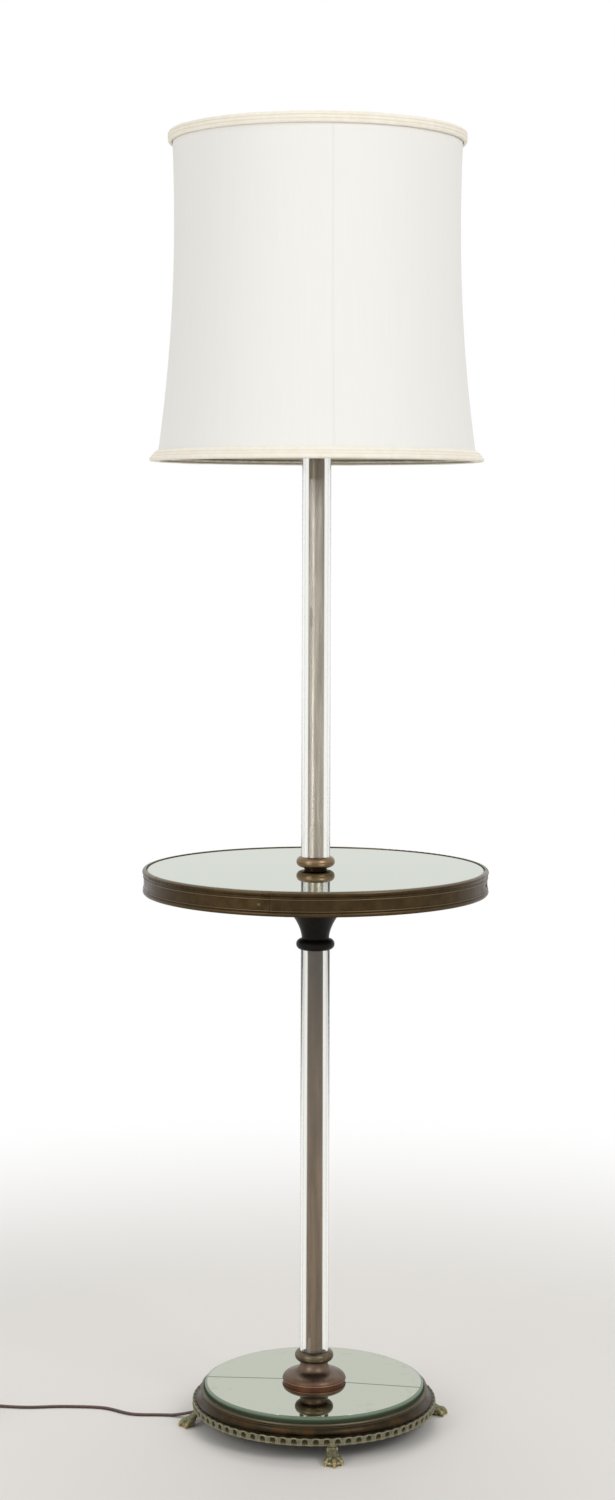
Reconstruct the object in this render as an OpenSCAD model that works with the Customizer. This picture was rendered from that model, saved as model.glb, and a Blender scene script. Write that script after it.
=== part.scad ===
// Floor lamp with a round mirror table half way up its glass column.
// Everything is stacked on one threaded pipe: footed base, mirror, cap, lower glass,
// trumpet, table, collar, upper glass, then socket, harp and a stretched fabric shade.
// Millimetres, +Z up, the floor at Z = 0 and the pipe's axis at X = Y = 0.

/* [Base] */
// Outer radius of the niched moulding round the base
gallery_r = 142.5; // [138:0.5:146]
// Number of niches round the moulding
niches = 72; // [48:4:80]
// Height of the moulding's underside above the floor
base_clearance = 19; // [18:0.5:22]
// Radius of the base mirror
base_mirror_r = 128; // [122:0.5:128]
// Thickness of the plate glass mirrors
mirror_t = 6; // [4:0.5:8]
// Distance from the axis to the middle toe's tip
foot_reach = 160; // [156:0.5:165]

/* [Column] */
// Outer radius of both glass tubes
glass_r = 17; // [15:0.25:18]
// Wall of the glass tubes
glass_wall = 3; // [2:0.25:4]
// Outer radius of the metal tube seen inside the glass
stem_r = 9.4; // [8:0.1:11]
// Outer radius of the collars that hold the glass
collar_r = 22.6; // [21:0.1:25]
// Length of the lower glass tube
lower_glass_len = 485.5; // [400:1:560]
// Length of the upper glass tube
upper_glass_len = 584.3; // [500:1:650]

/* [Table] */
// Outer radius of the table's metal band
table_r = 203; // [180:0.5:230]
// Height of the band
band_h = 28; // [26:0.5:34]
// Thickness of the wooden board
board_t = 19; // [16:0.5:20]
// Radius of the trumpet's rim under the board
trumpet_r = 53; // [45:0.5:60]

/* [Light fitting] */
// Height of the harp from its saddle to the shade's seat
harp_h = 231; // [200:1:260]
// Half the harp's width at its widest
harp_half_w = 54; // [48:0.5:60]
// Radius of the bulb
bulb_r = 30; // [24:0.5:32]

/* [Shade] */
// Height of the shade
shade_h = 386; // [320:1:400]
// Radius of the cover at its waist
waist_r = 168.5; // [150:0.5:180]
// Height of the waist above the shade's lower edge
waist_z = 272; // [230:1:290]
// How far the shade's top stands above its seat on the harp
seat_drop = 32; // [28:0.5:40]

/* [Cord] */
// Width of the flat twin lead
cord_w = 5.3; // [5:0.1:5.6]
// Thickness of the flat twin lead
cord_t = 2.7; // [2.4:0.1:2.8]
// Layers in the put-away coil
coil_layers = 4; // [2:2:4]

/* [Hidden] */
$fn = 96;
gap = 0.05;             // clearance between pieces that slide or turn on each other

// Pipe and holes
pipe_r = 4.9;
pipe_bore_r = 3.3;
hole_r = 5.2;

// Heights, from the floor up
pan_top_z = base_clearance + 21.5;
plate_z = pan_top_z - 4;
pad_z = pan_top_z - 1.5;
base_mirror_top = pan_top_z + mirror_t;
cap_h = 24;
collar_z = base_mirror_top + cap_h;
collar_h = 12.4;
seat_t = 4.5;
lower_glass_z = collar_z + seat_t;
lower_glass_top = lower_glass_z + lower_glass_len;
ring_z = lower_glass_top - collar_h + seat_t;
trumpet_z = ring_z + collar_h;
trumpet_h = 57;
board_z = trumpet_z + trumpet_h;
band_z = board_z - 2;
table_mirror_z = board_z + board_t;
table_top_z = table_mirror_z + mirror_t;
table_collar_z = table_top_z + 2.2;
upper_glass_z = table_collar_z + seat_t;
upper_glass_top = upper_glass_z + upper_glass_len;
cap_top_z = upper_glass_top + 3;
saddle_z = cap_top_z + 6;
seat_z = saddle_z + harp_h;
socket_z = saddle_z + 1.6;
shell_z = socket_z + 15;
shade_top = seat_z + seat_drop;
shade_bottom = shade_top - shade_h;

// Base ring radii
skirt_r = gallery_r - 4.3;
rim_r = skirt_r - 8.4;
foot_angles = [0, 90, 180, 270];
tab_screw_r = skirt_r - 7.7;

// Line on which the base mirror is parted, from edge to edge
mirror_joint = [[-150, 35.5], [-36, 11], [36.5, -13], [150, -53]];
mirror_joint_gap = 0.3;

// Band round the table
band_in_r = table_r - 4.4;
band_joint_angle = -113;
band_screw_angles = [-116.5, -18.5, 71.5, 161.5];
band_screw_z = band_z + 12.5;

// Harp legs, its wire and the stud brazed on its top
saddle_half = 22;
leg_z = saddle_z + 15;
harp_wire_r = 1.8;
stud_r = 3.17;
stud_flange = 1.9;
stud_top = seat_z + 12;

// Shade: the stretched cover draws in between its rings
cover_t = 0.8;
flare_below = 2.63e-4;
flare_above = 2.0e-4;
rib_angles = [-92.5, -2.5, 87.5, 177.5];
arm_angles = [-47.5, 72.5, 192.5];
ring_wire_r = 1.6;
rib_wire_r = 1.4;
rib_bow_r = 2041;
bottom_ring_h = 4.4;
function cover_r(h) = waist_r + (h < waist_z ? flare_below : flare_above) * pow(h - waist_z, 2);

// Cord: the route lies on the floor, from the bushing under the base to the coil
exit_heading = 169;
exit_reach = 118;
cord_exit = [exit_reach * cos(exit_heading), exit_reach * sin(exit_heading), 9];
coil_c = [-418, 70];
coil_in_r = 21.3;
turn_step = cord_w + 0.5;
layer_step = cord_t + 0.6;
coil_start = 75;
coil_turns = 11 + 105 / 360;
coil_bottom_z = 2.5;
tie_t = 0.8;
layer_turns = coil_turns / coil_layers;
coil_out_r = coil_in_r + layer_turns * turn_step;
coil_top_z = coil_bottom_z + (coil_layers - 1) * layer_step;
coil_heading = coil_start + 90;
coil_first = coil_point(0);
lead_in = 6;
coil_entry = coil_first - lead_in * [cos(coil_heading), sin(coil_heading), 0];
cord_route = [
    cord_exit, [-124, 24.1, 9], [-134, 26.1, 7.9], [-144, 28.2, 5.6], [-154, 30.7, 3.4],
    [-164, 33.9, 1.8], [-175, 37, 1.4], [-187, 39, 1.4], [-199, 41, 1.4], [-210, 44.5, 1.4],
    [-220, 51.5, 1.4], [-229, 60.5, 1.4], [-239, 68.8, 1.4], [-250, 73.8, 1.4],
    [-262, 76.9, 1.4], [-275, 79.6, 1.4], [-288, 81.8, 1.4], [-300, 83, 1.4],
    [-312, 83.4, 1.4], [-325, 84, 1.4], [-338, 86, 1.4], [-351, 89.4, 1.4],
    [-364, 93.4, 1.6], [-378, 97.9, 2.2],
    [-391, 101.77, 2.5], coil_entry
];
coil_tail = [
    [-456, 64, 12.4], [-456.6, 58, 12.2], [-457.4, 52, 11.3], [-458.2, 46, 9.9],
    [-459, 40, 8.4], [-459.5, 34, 7.1], [-459.5, 28, 6.4], [-459.5, 22, 6.2],
    [-459.5, 16, 6.2]
];
plug_at = coil_tail[len(coil_tail) - 1];

// Sections of the flat lead, with eight corners on the floor and six in the coil
flat_core = (cord_w - cord_t) / 2;
flat_lead_8 = [
    [cord_w / 2, -cord_t / 5], [cord_w / 2, cord_t / 5], [cord_w / 3.4, cord_t / 2],
    [-cord_w / 3.4, cord_t / 2], [-cord_w / 2, cord_t / 5], [-cord_w / 2, -cord_t / 5],
    [-cord_w / 3.4, -cord_t / 2], [cord_w / 3.4, -cord_t / 2]
];
flat_lead_6 = [
    [cord_w / 2, 0], [flat_core, cord_t / 2], [-flat_core, cord_t / 2],
    [-cord_w / 2, 0], [-flat_core, -cord_t / 2], [flat_core, -cord_t / 2]
];

// ---------------------------------------------------------------- helpers

function unit(v) = v / norm(v);
function smooth(t) = let (c = min(1, max(0, t))) c * c * (3 - 2 * c);

// Direction of travel at point i of a path
function heading(path, i) =
    unit(path[min(i + 1, len(path) - 1)] - path[max(i - 1, 0)]);

// The section's points at point i of a path, its width lying level
function ring_at(path, i, section) =
    let (
        along = heading(path, i),
        side = unit(cross([0, 0, 1], along)),
        up = cross(along, side)
    )
    [for (s = section) path[i] + s[0] * side + s[1] * up];

// One closed tube swept along a path
module sweep(path, section) {
    n = len(section);
    last = (len(path) - 1) * n;
    polyhedron(
        points = [for (i = [0 : len(path) - 1]) each ring_at(path, i, section)],
        faces = concat(
            [for (k = [1 : n - 2]) [0, k, k + 1]],
            [for (k = [1 : n - 2]) [last, last + k + 1, last + k]],
            [for (i = [0 : len(path) - 2], k = [0 : n - 1], half = [0, 1])
                let (a = i * n + k, b = i * n + (k + 1) % n)
                half == 0 ? [a, a + n, b] : [b, a + n, b + n]]
        )
    );
}

function circle_points(r, n) = [for (k = [0 : n - 1]) r * [cos(360 * k / n), sin(360 * k / n)]];

function bezier(p, t) =
    pow(1 - t, 3) * p[0] + 3 * t * pow(1 - t, 2) * p[1]
    + 3 * t * t * (1 - t) * p[2] + pow(t, 3) * p[3];

module disc(r, z, h, hole = 0) {
    translate([0, 0, z]) difference() {
        cylinder(r = r, h = h);
        if (hole > 0) translate([0, 0, -1]) cylinder(r = hole, h = h + 2);
    }
}

module tube(r, wall, z, h) {
    disc(r, z, h, r - wall);
}

module hex_nut(across_flats, z, h) {
    translate([0, 0, z]) difference() {
        cylinder(r = across_flats / sqrt(3), h = h, $fn = 6);
        translate([0, 0, -1]) cylinder(r = pipe_r + gap, h = h + 2);
    }
}

// ---------------------------------------------------------------- claw feet

module blob(x, y, z, rx, ry, rz) {
    translate([x, y, z]) scale([rx, ry, rz]) sphere(r = 1, $fn = 12);
}

// One toe: knuckle, then the claw that curls down to the floor
module toe(y_root, y_tip, reach) {
    hull() {
        blob(reach - 11, y_root, 7.2, 3.2, 2.4, 3);
        blob(reach - 4.6, y_tip, 4.4, 2.8, 2.3, 2.9);
    }
    hull() {
        blob(reach - 4.6, y_tip, 4.4, 2.6, 2.1, 2.8);
        blob(reach - 1.2, y_tip * 1.06, 0.9, 1.2, 1.2, 1.4);
    }
}

module claw_foot(angle) {
    heel_x = skirt_r + 6.5;
    leg = [[skirt_r - 0.5, 16.4, 3.2, 6.2, 3], [skirt_r + 3, 12.6, 3.3, 5.7, 3.6],
           [skirt_r + 7.5, 8.6, 4, 5.5, 4.4], [skirt_r + 11, 6, 4, 6.2, 4]];
    color("#8c8a6e") rotate(angle) intersection() {
        translate([skirt_r - 20, -20, 0]) cube([60, 40, base_clearance]);
        union() {
            for (i = [0 : len(leg) - 2]) hull() for (j = [i, i + 1])
                blob(leg[j][0], 0, leg[j][1], leg[j][2], leg[j][3], leg[j][4]);
            hull() {
                blob(heel_x, 0, 6, 4, 4.8, 4);
                blob(heel_x - 1, 0, 2.2, 3, 4, 3);
            }
            toe(-3.8, -8, foot_reach - 3);
            toe(0, 0, foot_reach);
            toe(3.8, 8, foot_reach - 3);
            difference() {
                translate([tab_screw_r - 4.5, -5.5, base_clearance - 2.6]) cube([16, 11, 2.6]);
                translate([tab_screw_r, 0, 0]) cylinder(r = 2.1, h = 30, $fn = 24);
            }
        }
    }
}

module foot_screws() {
    color("#6f6a5c") for (a = foot_angles) rotate(a) translate([tab_screw_r, 0, 0]) {
        translate([0, 0, base_clearance - 4.4]) cylinder(r = 3.4, h = 1.8);
        translate([0, 0, base_clearance - 3]) cylinder(r = 1.7, h = 5.6);
    }
}

// ---------------------------------------------------------------- base

// Pan: flat top, half round rim, hollow moulding, skirt and an inward lip for the feet
module base_pan() {
    cove_r = 7;
    wall = 2.5;
    cove_z = base_clearance + 16.5;
    color("#4b4231") difference() {
        rotate_extrude() {
            translate([hole_r, plate_z]) square([rim_r - hole_r, 2.5]);
            difference() {
                union() {
                    translate([rim_r - 1, cove_z]) square([3.4, pan_top_z - cove_z]);
                    translate([rim_r + 0.8, pan_top_z - 2.4]) circle(2.4);
                }
                translate([rim_r - 2, pad_z]) square([1.7, 2]);
            }
            intersection() {
                translate([skirt_r - cove_r - wall, cove_z - cove_r - wall])
                    square([cove_r + wall, cove_r + wall]);
                difference() {
                    translate([skirt_r, cove_z]) circle(cove_r + wall);
                    translate([skirt_r, cove_z]) circle(cove_r);
                }
            }
            translate([skirt_r - wall, base_clearance]) square([wall, cove_z - cove_r - base_clearance]);
            translate([skirt_r - 13, base_clearance]) square([13, 2]);
        }
        for (a = foot_angles) rotate(a) translate([tab_screw_r, 0, base_clearance - 1])
            cylinder(r = 1.75, h = 5);
    }
}

// Moulding round the pan: reeded blocks and hollow niches between two rails
module bead_gallery() {
    h = 8.6;
    step = 360 / niches;
    // Angle as a part of one step, and depth below the outer radius
    reeds = [[-0.27, 2.4], [-0.25, 0], [-0.1, 0], [-0.08, 0.6], [-0.06, 0],
             [0.06, 0], [0.08, 0.6], [0.1, 0], [0.25, 0], [0.27, 2.4]];
    rail_r = gallery_r - 0.9;
    color("#8f8c6c") {
        translate([0, 0, base_clearance + 0.8]) linear_extrude(h - 1.6) difference() {
            polygon([for (i = [0 : niches - 1], p = reeds)
                let (a = (i + p[0]) * step, r = gallery_r - p[1]) [r * cos(a), r * sin(a)]]);
            circle(skirt_r);
        }
        tube(rail_r, rail_r - skirt_r, base_clearance, 2.2);
        tube(rail_r, rail_r - skirt_r, base_clearance + h - 2, 2);
    }
}

module base_weight() {
    color("#2f2e2c") difference() {
        disc(skirt_r - 16, base_clearance + 5, plate_z - base_clearance - 5, hole_r);
        translate([0, 0, base_clearance + 4]) cylinder(r = 16, h = 3);
    }
}

module base_washer() {
    color("#8d8f90") disc(14, base_clearance + 5.4, 1.6, hole_r);
}

module base_lock_nut() {
    color("#8d8f90") hex_nut(17, base_clearance + 0.4, 5);
}

module mirror_pad() {
    color("#3a4a3a") disc(rim_r - 0.5, pad_z, 1.5, hole_r);
}

// Plate glass disc with a narrow bevel round its top edge
module mirror_disc(r, z, bevel) {
    rotate_extrude() polygon([
        [hole_r, z], [r, z], [r, z + mirror_t - bevel / 2],
        [r - bevel, z + mirror_t], [hole_r, z + mirror_t]
    ]);
}

module base_mirror_half(side) {
    color("#c3cabb") intersection() {
        mirror_disc(base_mirror_r, pan_top_z, 3);
        translate([0, side * mirror_joint_gap / 2, pan_top_z - 1]) linear_extrude(mirror_t + 2)
            polygon(concat(mirror_joint, [[150, side * 150], [-150, side * 150]]));
    }
}

// Spun cap: a low dome under a drawn-in neck, with a stepped foot
module base_cap() {
    z = base_mirror_top;
    dome = [for (t = [6 : 12 : 78]) [22 + 15.6 * cos(t), z + 3.5 + 11.3 * sin(t)]];
    color("#6b5340") difference() {
        rotate_extrude() {
            polygon(concat([[0, z + 5.2]], [[36.6, z + 5.2]], dome, [[22, z + 14.8], [0, z + 14.8]]));
            translate([0, z]) square([37.2, 1.3]);
            translate([0, z]) square([36.5, 5.2]);
            difference() {
                translate([0, z + 14]) square([23.5, cap_h - 14]);
                translate([23.5, z + 22.5]) circle(6.8);
                translate([16.7, z + 22.5]) square([8, 3]);
            }
        }
        translate([0, 0, z - 1]) cylinder(r = 34.5, h = 5.5);
        translate([0, 0, z]) cylinder(r = 20, h = 12);
        translate([0, 0, z]) cylinder(r = 14.5, h = cap_h - 2);
        translate([0, 0, z]) cylinder(r = hole_r, h = cap_h + 1);
    }
}

// Collar: a round-edged ring with a floor that the glass and the inner tube stand on
module collar(z, up) {
    roll = collar_h / 2;
    mid = collar_r - roll;
    difference() {
        rotate_extrude() {
            translate([mid, z + roll]) circle(roll);
            translate([hole_r, z]) square([mid - hole_r, collar_h]);
        }
        translate([0, 0, up ? z + seat_t : z - 1]) difference() {
            cylinder(r = glass_r + 0.15, h = collar_h - seat_t + 1);
            translate([0, 0, up ? 0 : 4]) cylinder(r = stem_r - 1.4, h = collar_h - seat_t - 3);
        }
    }
}

module base_collar() {
    color("#6b5642") collar(collar_z, true);
}

// ---------------------------------------------------------------- column

module lower_glass_tube() {
    color("#dfe6e2", 0.35) tube(glass_r, glass_wall, lower_glass_z, lower_glass_len);
}

module lower_stem() {
    color("#8a7d68") tube(stem_r, 1.2, lower_glass_z, lower_glass_len);
}

module threaded_pipe() {
    bottom = base_clearance - 1;
    color("#9a968c") tube(pipe_r, pipe_r - pipe_bore_r, bottom, socket_z + 8 - bottom);
}

module under_table_ring() {
    color("#1c1a17") collar(ring_z, false);
}

// Trumpet: its outline widens with a power of the height, so it opens faster as it rises
module trumpet_outline(in, z0, z1) {
    function flare(u) = 16 + (trumpet_r - 16) * pow(u, 1.8) - in;
    steps = 14;
    rotate_extrude() polygon(concat(
        [[0, trumpet_z + z0]],
        [for (i = [0 : steps]) let (u = i / steps)
            [flare(u), trumpet_z + z0 + u * (trumpet_h - 3 - z0)]],
        [[trumpet_r - in, trumpet_z + z1], [0, trumpet_z + z1]]
    ));
}

module table_trumpet() {
    color("#1f1c18") difference() {
        trumpet_outline(0, 0, trumpet_h);
        trumpet_outline(2.2, 4, trumpet_h + 1);
        translate([0, 0, trumpet_z - 1]) cylinder(r = hole_r, h = 8);
    }
}

// ---------------------------------------------------------------- table

module band_screw_holes() {
    for (a = band_screw_angles) rotate(a) translate([band_in_r - 16, 0, band_screw_z])
        rotate([0, 90, 0]) cylinder(r = 1.3, h = 30);
}

module table_board() {
    color("#6b4a2f") difference() {
        disc(band_in_r - 0.2, board_z, board_t, hole_r);
        band_screw_holes();
    }
}

// Band: half round mouldings at top and foot, with two fine beads beside a flat field
module table_band() {
    face_r = table_r - 1.6;
    color("#584a33") difference() {
        rotate_extrude() {
            translate([band_in_r, band_z]) square([face_r - band_in_r, band_h - 1.2]);
            translate([table_r - 3.4, band_z + band_h - 3.4]) circle(3.4);
            translate([face_r - 0.1, band_z + 18.8]) circle(0.9);
            translate([face_r - 0.1, band_z + 6]) circle(0.9);
            intersection() {
                translate([table_r - 3.2, band_z + 2.4]) circle(2.8);
                translate([band_in_r, band_z]) square([8, 5]);
            }
        }
        rotate_extrude() translate([band_in_r - 5, band_z]) square([5, band_h + 1]);
        rotate(band_joint_angle) translate([band_in_r - 2, -0.15, band_z - 1]) cube([10, 0.3, band_h + 2]);
        band_screw_holes();
    }
}

module band_screws() {
    color("#4c402c") for (a = band_screw_angles) rotate(a) translate([table_r - 1.6, 0, band_screw_z])
        rotate([0, 90, 0]) {
            translate([0, 0, -14]) cylinder(r = 1.25, h = 14.2);
            intersection() {
                cylinder(r = 2.1, h = 1.2);
                translate([0, 0, -2]) sphere(r = 3.1);
            }
        }
}

module table_mirror() {
    color("#d6dad3") mirror_disc(band_in_r - 0.4, table_mirror_z, 2);
}

module table_collar() {
    color("#7a6447") {
        collar(table_collar_z, true);
        disc(13.5, table_top_z, 2.2, hole_r);
    }
}

module upper_glass_tube() {
    color("#dfe6e2", 0.35) tube(glass_r, glass_wall, upper_glass_z, upper_glass_len);
}

module upper_stem() {
    color("#a5a69c") tube(stem_r, 1.2, upper_glass_z, upper_glass_len);
}

module column_cap() {
    color("#7a6447") difference() {
        rotate_extrude() {
            translate([hole_r, upper_glass_top - 10]) square([14, 10]);
            translate([19.2, upper_glass_top - 9]) circle(1);
            translate([hole_r, upper_glass_top]) square([11, 3]);
            intersection() {
                translate([16.2, upper_glass_top]) circle(3);
                translate([hole_r, upper_glass_top]) square([20, 3]);
            }
        }
        translate([0, 0, upper_glass_top - 11]) cylinder(r = glass_r + 0.15, h = 11);
    }
}

module column_nut() {
    color("#8d8f90") hex_nut(15, cap_top_z, 6);
}

// ---------------------------------------------------------------- light fitting

module harp_saddle() {
    color("#a8842f") {
        difference() {
            translate([-saddle_half - 3, -5, saddle_z]) cube([2 * saddle_half + 6, 10, 1.6]);
            translate([0, 0, saddle_z - 1]) cylinder(r = pipe_r + gap, h = 4);
        }
        for (s = [-1, 1]) {
            translate([s * saddle_half - 3, -5, saddle_z + 1.6]) cube([6, 10, 4.4]);
            translate([s * saddle_half, 0, saddle_z + 6]) cylinder(r = 1.8, h = 8.8);
        }
    }
}

// Harp: one bent wire, up from a leg, out round the bulb, over the top and down again
module harp() {
    top = seat_z - stud_flange - harp_wire_r;
    bend_z = leg_z + 6;
    side = [
        [saddle_half, leg_z],
        for (t = [0 : 0.125 : 1]) bezier([[saddle_half, bend_z], [saddle_half, bend_z + 25],
            [harp_half_w, leg_z + 44], [harp_half_w, leg_z + 96]], t),
        for (t = [0.125 : 0.125 : 1]) bezier([[harp_half_w, leg_z + 96], [harp_half_w, top - 42],
            [40, top], [0, top]], t)
    ];
    half = [for (p = side) [p[0], 0, p[1]]];
    whole = concat(half, [for (i = [len(half) - 2 : -1 : 0]) [-half[i][0], 0, half[i][2]]]);
    color("#b08d3c") harp_wire(whole, circle_points(harp_wire_r, 8));
}

// The wire bends in the XZ plane, so each ring is set square to it in that plane
module harp_wire(path, section) {
    n = len(section);
    last = (len(path) - 1) * n;
    polyhedron(
        points = [for (i = [0 : len(path) - 1])
            let (along = i == 0 || i == len(path) - 1
                    ? [0, 0, i == 0 ? 1 : -1] : heading(path, i),
                up = cross(along, [0, 1, 0]))
            each [for (s = section) path[i] + s[0] * [0, 1, 0] + s[1] * up]],
        faces = concat(
            [for (k = [1 : n - 2]) [0, k + 1, k]],
            [for (k = [1 : n - 2]) [last, last + k, last + k + 1]],
            [for (i = [0 : len(path) - 2], k = [0 : n - 1], half = [0, 1])
                let (a = i * n + k, b = i * n + (k + 1) % n)
                half == 0 ? [a, b, a + n] : [b, b + n, a + n]]
        )
    );
}

module harp_sleeves() {
    color("#a8842f") for (s = [-1, 1]) translate([s * saddle_half, 0, 0])
        tube(3.2, 3.2 - 1.9, saddle_z + 6.2, 14);
}

module harp_stud() {
    color("#a8842f") {
        disc(8, seat_z - stud_flange, stud_flange);
        disc(stud_r, seat_z - stud_flange, stud_top - seat_z + stud_flange);
    }
}

// Finial: turned knob on a waisted foot, drilled from below for the stud
module finial() {
    z = seat_z + 2.3;
    color("#a8842f") difference() {
        rotate_extrude() {
            square_at(0, z, 6.5, 2);
            square_at(0, z + 2, 4.6, 10.4);
            translate([0, z + 12.4]) square([5.8, 1.4]);
            intersection() {
                translate([0, z + 19.2]) circle(6.6);
                square_at(0, z + 13, 10, 14.4);
            }
        }
        translate([0, 0, z - 1]) cylinder(r = stud_r + gap, h = stud_top - z + 1.3);
    }
}

module square_at(x, z, w, h) {
    translate([x, z]) square([w, h]);
}

module socket_cap() {
    color("#b08d3c") difference() {
        rotate_extrude() {
            square_at(0, socket_z, 9, 5);
            intersection() {
                translate([0, socket_z + 15.5]) circle(16);
                square_at(0, socket_z + 1, 20, 14);
            }
        }
        translate([0, 0, socket_z + 2]) rotate_extrude() intersection() {
            translate([0, 15.5]) circle(15.4);
            square_at(0, 4.5, 20, 12);
        }
        translate([0, 0, socket_z - 1]) cylinder(r = pipe_r + gap, h = 9);
    }
}

module knob_slot(r) {
    translate([0, 0, shell_z + 9]) rotate([90, 0, 0]) cylinder(r = r, h = 30);
}

module socket_shell() {
    color("#b08d3c") difference() {
        rotate_extrude() {
            square_at(15.4, shell_z + 0.2, 0.8, 38);
            translate([16.1, shell_z + 37.6]) circle(0.8);
        }
        knob_slot(3.4);
    }
}

module socket_liner() {
    color("#4a3424") difference() {
        tube(15.2, 0.9, shell_z + 0.4, 38.6);
        knob_slot(3.4);
    }
}

// Inner body: moulded block with the switch, and the screw shell above it
module socket_body() {
    color("#2b2320") difference() {
        union() {
            disc(14.1, shell_z + 0.4, 17.6);
            tube(14.1, 0.5, shell_z + 18, 18);
        }
        knob_slot(1.75);
    }
}

module switch_knob() {
    color("#2b2320") translate([0, 0, shell_z + 9]) rotate([90, 0, 0]) {
        translate([0, 0, 1]) cylinder(r = 1.68, h = 24);
        translate([0, 0, 20]) cylinder(r = 3, h = 3);
        difference() {
            translate([0, 0, 23]) cylinder(r = 5.2, h = 11);
            for (a = [0 : 30 : 330]) rotate(a) translate([5.7, 0, 22]) cylinder(r = 0.9, h = 13);
        }
    }
}

module bulb_base() {
    color("#c9cbcc") {
        disc(4.6, shell_z + 18, 2.4);
        disc(12.9, shell_z + 20.4, 20.6);
    }
}

module bulb_glass() {
    z = shell_z + 41;
    ball_z = z + 52;
    color("#f4f1e6", 0.8) rotate_extrude() {
        square_at(0, z, 13, 10);
        polygon([[0, z + 10], [13, z + 10], [15, z + 20], [20.5, z + 31],
            [bulb_r * cos(32), ball_z - bulb_r * sin(32)], [0, ball_z]]);
        intersection() {
            translate([0, ball_z]) circle(bulb_r);
            square_at(0, ball_z - bulb_r, bulb_r + 1, 2 * bulb_r);
        }
    }
}

// Lead held inside the lamp: down the pipe, round one bend and on to the bushing
module inner_lead() {
    r = 2.4;
    bend = 9;
    z = cord_exit[2];
    run = exit_reach - 26;
    color("#3a2417") rotate(exit_heading) {
        translate([0, 0, z + bend]) cylinder(r = r, h = socket_z + 7 - z - bend);
        translate([bend, 0, z + bend]) rotate([90, 0, 0])
            rotate([0, 0, 180]) rotate_extrude(angle = 90) translate([bend, 0]) circle(r);
        translate([bend, 0, z]) rotate([0, 90, 0]) cylinder(r = r, h = run - bend);
    }
}

// ---------------------------------------------------------------- shade

module shade_top_frame() {
    ring_r = cover_r(shade_h - 4) - cover_t - ring_wire_r - 0.3;
    ring_h = shade_top - 4;
    arm_z = seat_z + 1.2;
    rise = ring_h - arm_z;
    run = ring_r - 9;
    color("#c7c2b4") {
        disc(11, arm_z - 1, 2, stud_r + gap);
        for (a = arm_angles) rotate(a) translate([9, 0, arm_z])
            rotate([0, atan2(run, rise), 0]) cylinder(r = 1.5, h = norm([run, rise]));
        translate([0, 0, ring_h]) rotate_extrude() translate([ring_r, 0]) circle(ring_wire_r);
    }
}

module shade_bottom_ring() {
    ring_r = cover_r(bottom_ring_h) - cover_t - ring_wire_r - 0.3;
    color("#c7c2b4") translate([0, 0, shade_bottom + bottom_ring_h])
        rotate_extrude() translate([ring_r, 0]) circle(ring_wire_r);
}

// Four upright wires that keep the rings apart, each one arc through both ends and the waist
module shade_ribs() {
    low = bottom_ring_h + ring_wire_r + 0.02;
    high = shade_h - 4 - ring_wire_r - 0.02;
    inset = cover_t + rib_wire_r + 0.7;
    foot = [cover_r(low) - inset, low];
    head = [cover_r(high) - inset, high];
    half = norm(head - foot) / 2;
    out = [head[1] - foot[1], foot[0] - head[0]] / (2 * half);
    middle = (foot + head) / 2 + out * sqrt(rib_bow_r * rib_bow_r - half * half);
    turn = 2 * asin(half / rib_bow_r);
    color("#c7c2b4") for (a = rib_angles) rotate(a)
        translate([middle[0], 0, shade_bottom + middle[1]]) rotate([90, 0, 0])
            rotate(180 + atan2(out[1], out[0]) - turn / 2) rotate_extrude(angle = turn, $fn = 1440)
                translate([rib_bow_r, 0]) circle(rib_wire_r, $fn = 48);
}

// A thin skin that follows the cover's outline, set in by a given amount
module skin(inset, thick, low, high) {
    steps = 20;
    heights = [for (i = [0 : steps]) low + (high - low) * i / steps];
    rotate_extrude() polygon(concat(
        [for (h = heights) [cover_r(h) - inset, shade_bottom + h]],
        [for (i = [steps : -1 : 0]) [cover_r(heights[i]) - inset - thick, shade_bottom + heights[i]]]
    ));
}

module shade_cover() {
    color("#efeeea") skin(0, cover_t, 2, shade_h - 2);
}

module shade_liner() {
    color("#9e9684") skin(5, 0.6, 6.5, shade_h - 9);
}

module shade_trim_top() {
    in_r = cover_r(shade_h - 2) + 0.3;
    color("#f1ede0") rotate_extrude() {
        square_at(in_r, shade_top - 10.6, 4.6, 8);
        translate([in_r + 2.3, shade_top - 2.4]) circle(2.4);
        translate([in_r + 2.3, shade_top - 10.6]) circle(2.3);
        square_at(in_r - 5, shade_top - 1.6, 7, 1.6);
    }
}

module shade_trim_bottom() {
    in_r = cover_r(2) + 0.3;
    top_r = cover_r(13) + 0.3;
    z = shade_bottom;
    color("#f1ede0") rotate_extrude() polygon([
        [top_r, z + 13], [top_r + 2, z + 13], [top_r + 3, z + 12.4], [in_r + 5.2, z + 7.4],
        [in_r + 8, z + 4.6], [in_r + 8.6, z + 3.2], [in_r + 8, z + 1.2], [in_r + 6, z],
        [in_r - 3, z], [in_r - 3, z + 1.6], [in_r, z + 1.6]
    ]);
}

// ---------------------------------------------------------------- cord

// A clip under the base weight holds the moulded bushing
module cord_clip() {
    x = exit_reach - 18;
    z = cord_exit[2];
    color("#6f6a5c") rotate(exit_heading) difference() {
        union() {
            translate([x, 0, z]) rotate([0, 90, 0]) cylinder(r = 6.2, h = 6);
            translate([x, -6.2, z]) cube([6, 12.4, base_clearance + 5 - z]);
        }
        translate([x - 1, 0, z]) rotate([0, 90, 0]) cylinder(r = 4.35, h = 8);
    }
}

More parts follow.
